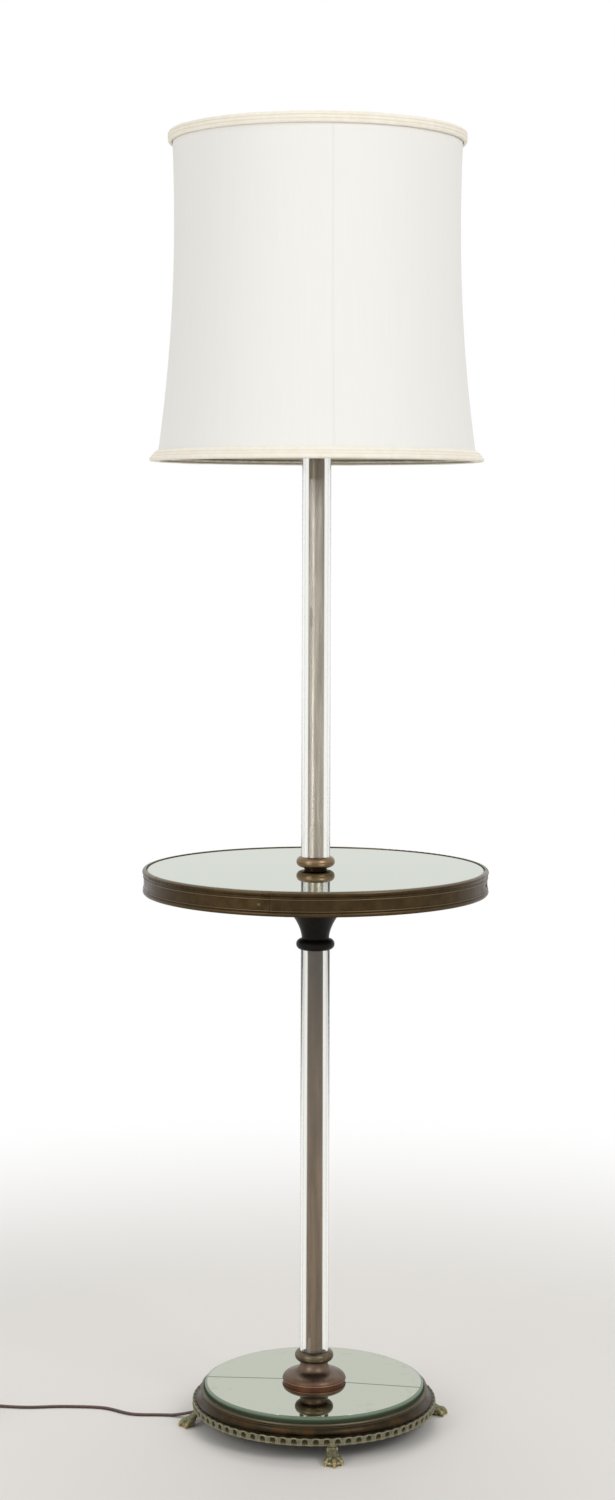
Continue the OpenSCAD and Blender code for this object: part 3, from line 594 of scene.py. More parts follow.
# %% Trim the foot flat under the pan, drill it and thin its mesh
bpy.ops.object.mode_set(mode="EDIT")
for height, up in ((BASE_Z - 0.02, True), (0.02, False)):
    bpy.ops.mesh.select_all(action="SELECT")
    bpy.ops.mesh.bisect(plane_co=(0, 0, height * MM), plane_no=(0, 0, 1), use_fill=True,
                        clear_outer=up, clear_inner=not up)
bpy.ops.object.mode_set(mode="OBJECT")
modify(foot, "DECIMATE", ratio=0.35)
bpy.ops.object.select_all(action="DESELECT")
bpy.ops.mesh.primitive_cylinder_add(vertices=24, radius=2.1 * MM, depth=12 * MM,
                                    location=(TAB_SCREW_R * MM, 0, BASE_Z * MM))
drill = bpy.context.object
modify(foot, "BOOLEAN", object=drill)
bpy.data.objects.remove(drill)
pick(foot)
bpy.ops.object.shade_smooth_by_angle(angle=math.radians(50))
print("foot:", len(foot.data.polygons), "faces")

# %% Finish of the feet
# Cast brass gone green: a dusty verdigris skin, the creases painted darker, part patina and part
# painted shade, and yellow metal where the claws and knuckles have been rubbed on the floor
verdigris, tree, shader, place, colour = old_metal(
    "cast brass with verdigris", "73725a", "55553f", 2.2, (0.42, 0.62), 0.6, 0.05, metallic=0.75)
edge = add(tree, "NewGeometry").outputs["Pointiness"]
ridge = add(tree, "MapRange", {"Value": edge, "From Min": 0.49, "From Max": 0.55}).outputs[0]
height = add(tree, "SeparateXYZ", {0: place}).outputs["Z"]
low = add(tree, "MapRange", {
    "Value": height, "From Min": 9 * MM, "From Max": 2.5 * MM, "To Min": 0.15,
}).outputs[0]
rubbed = add(tree, "Math", {0: ridge, 1: low}, operation="MULTIPLY").outputs[0]
worn = add(tree, "Mix", {0: rubbed, 6: colour, 7: rgb("d0b877")}, data_type="RGBA").outputs[2]
# Painted shade with some patina: the creases are painted dark
crease_patina_and_shade = add(tree, "MapRange", {
    "Value": edge, "From Min": 0.49, "From Max": 0.44, "To Max": 0.85,
}).outputs[0]
dark = add(tree, "Mix", {0: crease_patina_and_shade, 6: worn, 7: rgb("33301c")}, data_type="RGBA").outputs[2]
paint(tree, shader, dark)
dull = shader.inputs["Roughness"].links[0].from_socket
shine = add(tree, "Mix", {0: rubbed, 2: dull, 3: 0.26}).outputs[0]
tree.links.new(shine, shader.inputs["Roughness"])

# %% Copy the foot round the base
for i in range(4):
    copy = foot.copy()
    copy.data = foot.data.copy()
    copy.name = copy.data.name = f"cast_foot_{i + 1}"
    bpy.context.collection.objects.link(copy)
    pick(copy)
    copy.rotation_euler.z = math.radians(90 * i)
    bpy.ops.object.transform_apply(location=True, rotation=True, scale=True)
    hand_in(copy, "root", "feet_brass", verdigris, f"claw_foot_{i + 1}")
bpy.data.objects.remove(foot)

# %% [markdown]
# ## Niched moulding
# Round the pan runs a pressed brass strip: blocks with upright reeds, and between them small
# arched niches, 72 of each. One block with half a niche on either side is shaped from a grid,
# whose rows follow the strip's section and whose columns cross the block. An array then
# repeats it round the axis, five degrees at a time.

# %% Shape one block
GALLERY_R = 142.5
NICHES = 72
GALLERY_H = 8.6
BLOCK_HALF = 3.1
STEP_HALF = math.pi * GALLERY_R / NICHES
NICHE_HALF = STEP_HALF - BLOCK_HALF
NICHE_HALF_H = 2.9
ARCH_Z = 4.5
REED_DEPTH = 0.6
NICHE_DEPTH = 1.9
FACE_BACK = 0.1
# The share of the rows that curl back to the pan at either edge, and the gap left there
CURL = 0.12
SKIRT_GAP = 0.05
GRID = 26


def strip_depth(x, z):
    """How far the strip's face lies behind its outer radius, in mm."""
    side = abs(x)
    if side < BLOCK_HALF:
        reed = (side / BLOCK_HALF * 1.5 + 0.5) % 1
        return REED_DEPTH * abs(2 * reed - 1) ** 3 + FACE_BACK
    across = (STEP_HALF - side) / NICHE_HALF
    up = abs(z - ARCH_Z) / NICHE_HALF_H
    hollow = 1 - (across * across + up * up if z > ARCH_Z else max(across**4, up**6))
    return FACE_BACK + NICHE_DEPTH * min(1, max(0, hollow) * 1.7) ** 0.65


tile = start("grid", "niched_strip", x_subdivisions=GRID, y_subdivisions=GRID, size=1)
bpy.ops.object.mode_set(mode="OBJECT")
for vert in tile.data.vertices:
    x = vert.co.x * 2 * STEP_HALF
    row = vert.co.y + 0.5
    crown = 0.5 * math.cos(math.pi * x / STEP_HALF)
    low, high = 0.25 - crown * 0.5, GALLERY_H - 0.35 - crown * 0.7
    z = low + (high - low) * min(1, max(0, (row - CURL) / (1 - 2 * CURL)))
    edge = min(row, 1 - row)
    if edge < CURL:
        depth = (GALLERY_R - SKIRT_R - SKIRT_GAP) * (1 - edge / CURL) ** 1.3 + 0.35
    else:
        depth = strip_depth(x, z) + 0.5 * max(0, 1 - (edge - CURL) / (CURL / 2)) ** 2
    radius = min(max(GALLERY_R - depth, SKIRT_R + SKIRT_GAP), GALLERY_R)
    turn = x / GALLERY_R
    vert.co = Vector((radius * math.cos(turn), radius * math.sin(turn), BASE_Z + z)) * MM
print("one block:", len(tile.data.polygons), "faces")

# %% Repeat it round the base
bpy.ops.object.empty_add(rotation=(0, 0, math.tau / NICHES))
turner = bpy.context.object
modify(tile, "ARRAY", count=NICHES, use_relative_offset=False, use_object_offset=True,
       offset_object=turner, use_merge_vertices=True, use_merge_vertices_cap=True,
       merge_threshold=0.05 * MM)
bpy.data.objects.remove(turner)
pick(tile)
bpy.ops.object.mode_set(mode="EDIT")
bpy.ops.mesh.select_all(action="DESELECT")
bpy.ops.mesh.select_non_manifold()
bpy.ops.mesh.bridge_edge_loops()
close_up(tile, 50)

# %% Finish of the niched moulding
# Pressed brass gone khaki green. The niches are painted dark brown, part grime and part painted
# shade, and the niches' lower lips are painted pale, a painted highlight
pressed_brass, tree, shader, place, colour = old_metal(
    "pressed brass, grime and painted niche shade", "8d8a74", "736f5a", 3, (0.4, 0.58), 0.7, 0.03, metallic=0.8)
# Painted shade with some grime: the deeper the strip's face lies, the darker it is painted
deep = add(tree, "MapRange", {
    "Value": reach_at(tree, place), "From Min": (GALLERY_R - 0.7) * MM,
    "From Max": (GALLERY_R - 1.7) * MM,
}).outputs[0]
niche_shade_and_grime = add(tree, "Mix", {0: deep, 6: colour, 7: rgb("3b3622")}, data_type="RGBA").outputs[2]
# Painted highlight: the lowest 3 mm of the strip, with the niches' lower lips, is painted paler
paint(tree, shader, by_height(tree, place, niche_shade_and_grime, "9d967a", BASE_Z + 3, BASE_Z + 1.6, 0.6))
hand_in(tile, "root", "verdigris", pressed_brass, "bead_gallery")

# %% [markdown]
# ## Pan of the base
# The pan is spun from sheet and has the right shape already: a half round rim, a hollow below
# it and a flat skirt. Its finish does the work. The rim is rubbed to an olive satin, and the
# hollow is dark bronze with warmer brown patches.

# %% Finish of the pan
# Spun brass sheet, bronzed: olive on the rim, brown to black in the hollow
pan_bronze, tree, shader, place, colour = old_metal(
    "bronzed spun brass", "30291e", "483723", 26, (0.34, 0.5), 1.2, 0.02, 0.35)
rim = by_height(tree, place, colour, "585140", 35, 37, 0.92)
# A line of bare metal where the rim's lower edge has been rubbed
paint(tree, shader, line_at(tree, place, rim, "857d65", 36.6, 0.8, 0.3, 0.7))
finish_nodes("base_pan", pan_bronze)

# %% [markdown]
# ## Mirrors
# Both mirrors are plate glass silvered on the back, with a ground edge. The glass is slightly
# green, so the reflection is grey-green and the edge is clearly green. From above the
# reflection is everything, so the top is a tinted mirror, and the ground edge is green glass
# whose lower part is painted dark, a painted shadow of the gap under the mirror.
# Old silver dulls first near the edge, where damp gets in.

# %% Silvered glass
BASE_MIRROR_TOP = 46.5
TABLE_TOP = 647


def silvered(name, silver, stain, edge, top, edge_from, spots, joints=()):
    """A mirror whose top is above the height top, and whose edge starts at edge_from, in mm.

    A joint is a line on the top from 30 mm outwards: its normal, its offset and its side in x.
    """
    material, tree, shader, place = new_material(name, {"Specular Tint": rgb("ecefea")})
    height = add(tree, "SeparateXYZ", {0: place}).outputs["Z"]
    face = add(tree, "MapRange", {
        "Value": height, "From Min": (top - 0.25) * MM, "From Max": (top - 0.05) * MM,
    }).outputs[0]
    outer = add(tree, "MapRange", {
        "Value": reach_at(tree, place), "From Min": (edge_from - 34) * MM,
        "From Max": edge_from * MM,
    }).outputs[0]
    blot = add(tree, "TexNoise", {"Vector": place, "Scale": 1 / (14 * MM), "Detail": 7,
                                  "Roughness": 0.7}).outputs[0]
    blot = add(tree, "MapRange", {"Value": blot, "From Min": 0.56, "From Max": 0.72}).outputs[0]
    for limit in (outer, spots):
        blot = add(tree, "Math", {0: blot, 1: limit}, operation="MULTIPLY").outputs[0]
    back = add(tree, "Mix", {0: blot, 6: rgb(silver), 7: rgb(stain)}, data_type="RGBA").outputs[2]
    for normal, offset, side_of_x in joints:
        off = add(tree, "VectorMath", {0: place, 1: normal}, operation="DOT_PRODUCT")
        off = add(tree, "Math", {0: off.outputs["Value"], 1: offset * MM}, operation="SUBTRACT")
        off = add(tree, "Math", {0: off.outputs[0]}, operation="ABSOLUTE").outputs[0]
        near = add(tree, "MapRange", {
            "Value": off, "From Min": 2.0 * MM, "From Max": 0.9 * MM, "To Max": 0.75,
        }).outputs[0]
        out = add(tree, "VectorMath", {0: place, 1: (side_of_x, 0, 0)}, operation="DOT_PRODUCT")
        far = add(tree, "MapRange", {
            "Value": out.outputs["Value"], "From Min": 28 * MM, "From Max": 32 * MM,
        }).outputs[0]
        near = add(tree, "Math", {0: near, 1: far}, operation="MULTIPLY").outputs[0]
        back = add(tree, "Mix", {0: near, 6: back, 7: rgb("5a625a")}, data_type="RGBA").outputs[2]
    # Painted shadow: the ground edge is painted dark green below its top 3 mm
    ground = add(tree, "MapRange", {
        "Value": height, "From Min": (top - 3.4) * MM, "From Max": (top - 2.4) * MM,
    }).outputs[0]
    side = add(tree, "Mix", {0: ground, 6: rgb("36422f"), 7: rgb(edge)}, data_type="RGBA")
    both = add(tree, "Mix", {0: face, 6: side.outputs[2], 7: back}, data_type="RGBA").outputs[2]
    paint(tree, shader, both)
    tree.links.new(face, shader.inputs["Metallic"])
    haze = add(tree, "MapRange", {"Value": blot, "To Min": 0.03, "To Max": 0.2}).outputs[0]
    dull = add(tree, "Mix", {0: face, 2: 0.3, 3: haze}).outputs[0]
    tree.links.new(dull, shader.inputs["Roughness"])
    return material


# The two halves meet in a worn line that shows grey-green on both sides of the cap
PARTING = (((0.2101, 0.9777, 0), 3.19, -1), ((0.3324, 0.9432, 0), -0.13, 1))
base_mirror = silvered(
    "old silvered plate glass", "c0c3b7", "969a8c", "687964", BASE_MIRROR_TOP, 126, 0.8, PARTING)
finish_nodes("base_mirror_front base_mirror_back", base_mirror)
table_mirror = silvered(
    "silvered plate glass", "d0d4cc", "b6bbb2", "7d988a", TABLE_TOP, 197, 0.35)
finish_nodes("table_mirror", table_mirror)

# %% [markdown]
# ## Cap and collars
# These are brass spinnings in an old brown bronze finish. The cap rises in an ogee from a
# straight foot with a fine ridge on it. The collars are rolled rings, hollow in the middle,
# where the glass tube stands on a seat. All are turned from their outlines.

# %% Cap on the base mirror
PIPE_HOLE = 5.2
CAP_Z = BASE_MIRROR_TOP
ogee = [(36.9, 4), (36.7, 5.2), (35.6, 7.2), (33.8, 8.9), (31.2, 10.3), (27.9, 11.5),
        (24.5, 12.5), (21.3, 13.4), (18.9, 15.1), (17.3, 17.5), (16.3, 20.2), (15.8, 22.4),
        (15.7, 23.9)]
cap_outline = [(PIPE_HOLE, 12), (20, 11.5), (20, 3), (34.5, 3), (34.5, 0), (36.4, 0), (36.4, 2.8)]
cap_outline += arc(36.5, 3.4, 0.7, -60, 50, 6)
cap_outline += [tuple(p) for p in smooth_through([Vector(p) for p in ogee], 2)]
cap_outline += [(PIPE_HOLE, 23.95), (PIPE_HOLE, 12)]
cap = lathe("base_cap_spun", cap_outline, CAP_Z)
cap_finish, tree, shader, place, colour = old_metal(
    "brown bronzed brass", "6d5d4e", "594b3f", 14, (0.38, 0.48), 1.0, 0.008, 0.5, (1, 1, 1), 0.16)
height = add(tree, "SeparateXYZ", {0: place}).outputs["Z"]
# The ridge at the foot is painted lighter, a painted highlight, and the low part is redder
at_ridge = add(tree, "MapRange", {
    "Value": height, "From Min": (CAP_Z + 2.6) * MM, "From Max": (CAP_Z + 3.2) * MM,
}).outputs[0]
above = add(tree, "MapRange", {
    "Value": height, "From Min": (CAP_Z + 3.9) * MM, "From Max": (CAP_Z + 4.2) * MM,
    "To Min": 1, "To Max": 0,
}).outputs[0]
ridge = add(tree, "Math", {0: at_ridge, 1: above}, operation="MULTIPLY").outputs[0]
red = by_height(tree, place, colour, "623a2a", CAP_Z + 8.5, CAP_Z + 2.4, 0.75)
# Painted highlight on the ridge
bright = add(tree, "Mix", {0: ridge, 6: red, 7: rgb("836653")}, data_type="RGBA").outputs[2]
paint(tree, shader, bright)
hand_in(cap, "root", "cap_bronze", cap_finish, "base_cap")

# %% Collars and the ring under the table
COLLAR_H = 12.4
ROLL = 6.2
SEAT = 4.5
BOSS_R = 8
ROLL_AT_R = 16.4
BASE_COLLAR_Z = 70.5
NECK_H = 2.2
NECK_TOP = TABLE_TOP + NECK_H
UNDER_RING_Z = 552.6
collar_outline = [(PIPE_HOLE, 0), (ROLL_AT_R, 0)]
collar_outline += arc(ROLL_AT_R, ROLL, ROLL, -90, 76, 18)[1:]
collar_outline += [(17.5, COLLAR_H - 0.1), (17.15, COLLAR_H - 0.3), (17.15, SEAT), (BOSS_R, SEAT),
                   (BOSS_R, SEAT + 4.9), (PIPE_HOLE, SEAT + 4.9), (PIPE_HOLE, 0)]
base_collar = lathe("base_collar_rolled", collar_outline, BASE_COLLAR_Z)
neck = [(PIPE_HOLE, 0), (13.2, 0), (13.5, 0.4), (13.5, NECK_H)]
table_outline = neck + [(r, z + NECK_H) for r, z in collar_outline[1:-1]] + neck[:1]
table_collar = lathe("table_collar_rolled", table_outline, TABLE_TOP)
ring_outline = [(r, COLLAR_H - z) for r, z in collar_outline]
under_ring = lathe("black_ring_rolled", ring_outline, UNDER_RING_Z)

collar_finish = old_metal(
    "worn bronzed brass", "6c614f", "574c3d", 9, (0.34, 0.46), 1.0, 0.008)[0]
hand_in(base_collar, "root", "cap_bronze", collar_finish, "base_collar")
table_finish, tree, shader, place, colour = old_metal(
    "worn brass, pink in places", "7c674c", "836c59", 6, (0.28, 0.4), 1.0, 0.008)
# Painted shade: the neck under the rolled ring is painted near black
paint(tree, shader, by_height(tree, place, colour, "2a2117", NECK_TOP + 0.7, NECK_TOP - 0.1))
hand_in(table_collar, "root", "collar_brass", table_finish, "table_collar")

# %% [markdown]
# ## Trumpet under the table
# The black trumpet carries the table. It widens faster as it rises, with the power 1.8 of its
# height, and its wall is thin, as spun sheet is. Stoved black enamel covers it, and a little
# red metal shows at the rim.

# %% Trumpet
TRUMPET_Z = 565
TRUMPET_H = 57
TRUMPET_R = 53
TRUMPET_FOOT_R = 16
TRUMPET_WALL = 2.2
TRUMPET_FLOOR = 4
FLARE_H = TRUMPET_H - 3
FLARE_PARTS = 28


def flare(u):
    """The trumpet's radius at a share of its height, in mm."""
    return TRUMPET_FOOT_R + (TRUMPET_R - TRUMPET_FOOT_R) * u**1.8


outside = [(flare(i / FLARE_PARTS), FLARE_H * i / FLARE_PARTS) for i in range(FLARE_PARTS + 1)]
inside = [(max(PIPE_HOLE, r - TRUMPET_WALL), max(z, TRUMPET_FLOOR)) for r, z in outside[::-1]]
trumpet_outline = [(PIPE_HOLE, 0)] + outside
trumpet_outline += [(TRUMPET_R, TRUMPET_H - 0.8), (TRUMPET_R - 0.6, TRUMPET_H)]
trumpet_outline += [(TRUMPET_R - TRUMPET_WALL, TRUMPET_H)] + inside
trumpet_outline += [(PIPE_HOLE, TRUMPET_FLOOR), (PIPE_HOLE, 0)]
trumpet = lathe("table_trumpet_spun", trumpet_outline, TRUMPET_Z)
enamel, tree, shader, place, colour = plain_stuff(
    "stoved black enamel", "100e0c", "17120f", 8, 0.4, 1.4, 0.006,
    also={"Specular IOR Level": 0.12})
flare_top = TRUMPET_Z + FLARE_H
paint(tree, shader, by_height(tree, place, colour, "4a2c20", flare_top, flare_top + 1.5, 0.6))
hand_in(trumpet, "root", "black_metal", enamel, "table_trumpet")
hand_in(under_ring, "root", "black_metal", enamel, "under_table_ring")

# %% [markdown]
# ## Glass tubes
# The column is two clear glass tubes with walls 3 mm thick, cut to length and fire-polished,
# which rounds their ends a little. Glass is a surface that bends light, and that gives bright
# and dark lines along its edges. A shadow ray goes straight through, because a real tube
# hardly darkens what stands inside it, and tracing that light would take too long. Seen edge
# on, the glass's colour is painted grey: painted dark edge lines, beyond any tint of the glass.

# %% Glass tubes
GLASS_R = 17
GLASS_BORE = 14
COLUMN_TOP = 1238


def glass_tube(name, low, high):
    """A tube between two heights, in mm, with its ends rounded."""
    soft = 0.6
    outline = arc(GLASS_R - soft, high - soft, soft, 0, 90, 4)
    outline += arc(GLASS_BORE + soft, high - soft, soft, 90, 180, 4)
    outline += arc(GLASS_BORE + soft, low + soft, soft, 180, 270, 4)
    outline += arc(GLASS_R - soft, low + soft, soft, 270, 360, 4)
    return lathe(name, outline + outline[:1], smooth=40)


clear_glass, tree, shader = new_material(
    "clear drawn glass", {"Roughness": 0, "IOR": 1.5, "Transmission Weight": 1})[:3]
# Painted shade: where the glass is seen edge on, its colour is painted grey, as dark edge lines
facing = add(tree, "LayerWeight", {"Blend": 0.5}).outputs["Facing"]
edge = add(tree, "MapRange", {"Value": facing, "From Min": 0.56, "From Max": 0.84}).outputs[0]
tint = add(tree, "Mix", {0: edge, 6: rgb("f8f8f5"), 7: rgb("a3a199")}, data_type="RGBA")
paint(tree, shader, tint.outputs[2])
through = add(tree, "BsdfTransparent", {"Color": rgb("f4f5f3")}).outputs[0]
rays = add(tree, "LightPath").outputs
dim = add(tree, "Math", {0: rays["Is Shadow Ray"], 1: rays["Is Diffuse Ray"]},
          operation="MAXIMUM").outputs[0]
mixed = add(tree, "MixShader", {0: dim, 1: shader.outputs[0], 2: through}).outputs[0]
tree.links.new(mixed, tree.nodes["Material Output"].inputs["Surface"])
lower_tube = glass_tube("lower_glass", BASE_COLLAR_Z + SEAT, UNDER_RING_Z + COLLAR_H - SEAT)
hand_in(lower_tube, "root", "clear_glass", clear_glass, "lower_glass_tube")
upper_tube = glass_tube("upper_glass", NECK_TOP + SEAT, COLUMN_TOP)
hand_in(upper_tube, "root", "clear_glass", clear_glass, "upper_glass_tube")

# %% [markdown]
# ## Metal tubes inside the glass
# Inside each glass a thin metal tube hides the pipe. The upper one is nickel-plated and has
# kept its silver, with long dull runs that are part tarnish and part painted reflections, and it
# is painted darker and browner just under the shade, a painted shadow over some brown tarnish.
# The lower one has lost most of its plating and goes from warm taupe at the foot to dark olive
# under the table.

# %% Finish of the metal tubes
# The patches are drawn out twenty times along the tube
RUNS = (1, 1, 0.05)
# Nickel plate in long runs down the tube, part dulled plate and part painted reflections
upper_metal, tree, shader, place, colour = old_metal(
    "nickel plate, dull runs, painted reflections and shadow", "c9c0b4", "756d62", 9, (0.26, 0.36), 1.4, 0.004, 0.5, RUNS, 0.2)
# Painted shadow: darker and browner just under the shade, over some brown tarnish
paint(tree, shader, by_height(tree, place, colour, "5e5040", 1070, 1105, 0.85))
finish_nodes("upper_stem", upper_metal)
# Bare brass under lost plating, brown, with runs along the tube
lower_metal, tree, shader, place, colour = old_metal(
    "brass tube that lost its plating", "89735b", "64503a", 8, (0.3, 0.4), 1.4, 0.004, 0.5,
    RUNS, 0.16)
# Darker towards the top, under the table
paint(tree, shader, by_height(tree, place, colour, "41382a", 300, 560))
finish_nodes("lower_stem", lower_metal)

# %% [markdown]
# ## Band and screws of the table
# The band is a drawn moulding bent into a hoop, with its joint left of the front. Its shape
# comes from the construction. Its finish is dark antique bronze, and the raised parts, the lip
# at the top, the two thin beads and the foot, are painted lighter, part rubbed metal and part
# painted highlight.

# %% Finish of the band
# Antique bronze: dark and patchy in the flat, painted lighter on everything that stands out,
# part rubbed and part painted highlight
band_bronze, tree, shader, place, colour = old_metal(
    "drawn brass, antique bronze finish", "392e1d", "493a26", 16, (0.3, 0.44), 1.2, 0.01, 0.5,
    (1, 1, 1), 0.14)
# Painted highlight lines, part rubbed metal, on the lip, the two beads and the foot,
# each with its height and half its width
for middle, half, tint, strength in ((647.2, 1.5, "6d6352", 0.9), (638.8, 0.7, "6b5d47", 0.7),
                                     (626, 0.7, "6b5d47", 0.6), (622, 2.0, "54452f", 0.5)):
    colour = line_at(tree, place, colour, tint, middle, half, half * 0.5, strength)
paint(tree, shader, colour)
finish_nodes("table_band", band_bronze)
finish_nodes("band_screws", old_metal("bronzed screw", "4c402c", "6e5f45", 1.5, (0.3, 0.45))[0])
finish_nodes("column_cap", collar_finish)

# %% [markdown]
# ## Harp and finial
# The harp is one brass wire bent round the bulb. A curve through four points draws one side,
# its mirror image the other, and a round bevel gives the wire's thickness. The finial is
# turned, with a waist and a ball.

# %% Harp
HARP_TOP = 1474.3
HARP_HALF = 54
WIRE_R = 1.8
one_side = [((22, 1262), (22, 1260), (22, 1264)), ((22, 1268), (22, 1266), (22, 1293)),
            ((HARP_HALF, 1358), (HARP_HALF, 1306), (HARP_HALF, HARP_TOP - 42)),
            ((0, HARP_TOP), (40, HARP_TOP), (-40, HARP_TOP))]
other_side = [tuple((-x, z) for x, z in (at, after, before))
              for at, before, after in reversed(one_side[:-1])]
bpy.ops.object.select_all(action="DESELECT")
bpy.ops.curve.primitive_bezier_curve_add()
harp = bpy.context.object
harp.name = harp.data.name = "harp_wire"
bend = harp.data.splines[0]
bend.bezier_points.add(len(one_side + other_side) - len(bend.bezier_points))
for point, (at, before, after) in zip(bend.bezier_points, one_side + other_side):
    point.handle_left_type = point.handle_right_type = "FREE"
    point.co = Vector((at[0], 0, at[1])) * MM
    point.handle_left = Vector((before[0], 0, before[1])) * MM
    point.handle_right = Vector((after[0], 0, after[1])) * MM
harp.data.dimensions = "3D"
harp.data.resolution_u = 16
harp.data.bevel_depth = WIRE_R * MM
harp.data.bevel_resolution = 4
harp.data.use_fill_caps = True
bpy.ops.object.convert(target="MESH")
bpy.ops.object.mode_set(mode="EDIT")
close_up(harp, 50)
hand_in(harp, "root", "brass", brass, "harp")

# %% Finial
FINIAL_Z = 1480.3
finial_outline = [(0, 10.7), (3.25, 10.7), (3.25, 0), (6.2, 0)] + arc(5.7, 1, 0.9, -60, 90, 6)
finial_outline += [(4.6, 2.6), (3.9, 4.2), (3.9, 7.5), (4.2, 10.4), (4.7, 12)]
finial_outline += arc(5.1, 13.1, 0.8, -70, 70, 6) + arc(0, 19.2, 6.6, -58, 90, 20)
finial = lathe("finial_turned", finial_outline, FINIAL_Z, 64)
hand_in(finial, "finial", "brass", brass, "finial")

# %% [markdown]
# ## Bulb
# A plain frosted bulb: a pear outline from the screw cap to the round top. The frosting is
# inside, so the outside is still glossy over a white body.

# %% Bulb
BULB_Z = 1304.6
BALL_UP = 52
BULB_R = 30
bulb_outline = [(0, 0), (12.4, 0), (13, 0.8), (13, 9), (13.4, 13), (14.6, 18.5), (16.8, 24.5),
                (20, 31)] + arc(0, BALL_UP, BULB_R, -38, 90, 24)
bulb = lathe("frosted_bulb", bulb_outline, BULB_Z, 96)
frosted = plain_stuff("frosted bulb glass", "f4f1e8", "ece8db", 20, 0.5, 2, 0.002,
                      also={"Coat Weight": 1, "Coat Roughness": 0.04})[0]
hand_in(bulb, "root", "bulb_glass", frosted, "bulb_glass")

# %% [markdown]
# ## Cover of the shade
# The cover is one sheet of off-white cloth, stretched over the frame's rings so that it draws
# in between them, and sewn in one upright seam at the front. It is made as a round sheet: the
# frame's outline gives each row's radius, the seam stands out a little, and the pull of the
# cloth leaves faint upright ripples. A second sheet, the beige lining, hangs inside the frame.

# %% Round sheets
SHADE_Z = 1124
SHADE_H = 386
WAIST_R = 168.5
WAIST_H = 272
FLARE_BELOW = 2.63e-4
FLARE_ABOVE = 2.0e-4
SEAM_AT = math.radians(-92.5)


def cover_radius(h):
    """The cover's radius at a height over the shade's lower edge, in mm."""
    return WAIST_R + (FLARE_BELOW if h < WAIST_H else FLARE_ABOVE) * (h - WAIST_H) ** 2


def round_sheet(name, low, high, rows, around, radius_at, thick):
    """A sheet round the axis, with a map of its surface in metres along and across."""
    verts, faces, where = [], [], []
    for j in range(rows + 1):
        h = low + (high - low) * j / rows
        for i in range(around + 1):
            turn = math.tau * i / around
            r = radius_at(h, turn)
            a = SEAM_AT + turn
            verts.append(Vector((r * math.cos(a), r * math.sin(a), SHADE_Z + h)) * MM)
            where.append((WAIST_R * turn * MM, h * MM))
    for j in range(rows):
        for i in range(around):
            a = j * (around + 1) + i
            faces.append((a, a + 1, a + around + 2, a + around + 1))
    piece = from_points(name, verts, faces)
    mesh = piece.data
    chart = mesh.uv_layers.new(name="cloth")
    for loop in mesh.loops:
        chart.data[loop.index].uv = where[loop.vertex_index]
    pick(piece)
    bpy.ops.object.mode_set(mode="EDIT")
    bpy.ops.mesh.select_all(action="SELECT")
    bpy.ops.mesh.remove_doubles(threshold=0.001 * MM)
    bpy.ops.object.mode_set(mode="OBJECT")
    modify(piece, "SOLIDIFY", thickness=thick * MM, offset=-1)
    mesh.shade_smooth()
    return piece


# %% Cover and lining


def pulled_cover(h, turn):
    """Radius of the cover: its outline, the seam's ridge and the faint upright ripples."""
    from_seam = min(turn, math.tau - turn) * WAIST_R
    seam = 0.3 * max(0, 1 - (from_seam / 2.2) ** 2)
    held = math.sin(math.pi * h / SHADE_H)
    ripple = math.sin(turn * 47 + 0.5) + math.sin(turn * 31 + 2) + math.sin(turn * 73 + 4)
    return cover_radius(h) - 0.35 + seam + 0.03 * held * ripple


cover = round_sheet("cover_cloth", 2, SHADE_H - 2, rows=48, around=360,
                    radius_at=pulled_cover, thick=0.6)
lining = round_sheet("lining_cloth", 6.5, SHADE_H - 9, rows=40, around=240,
                     radius_at=lambda h, turn: cover_radius(h) - 5, thick=0.5)

# %% Weave of the cover and the lining
# The bands of a wave texture lie tau / 20 / scale apart, so these threads are 1 mm apart
THREAD_SCALE = 312.5
SLUB_LONG = 110


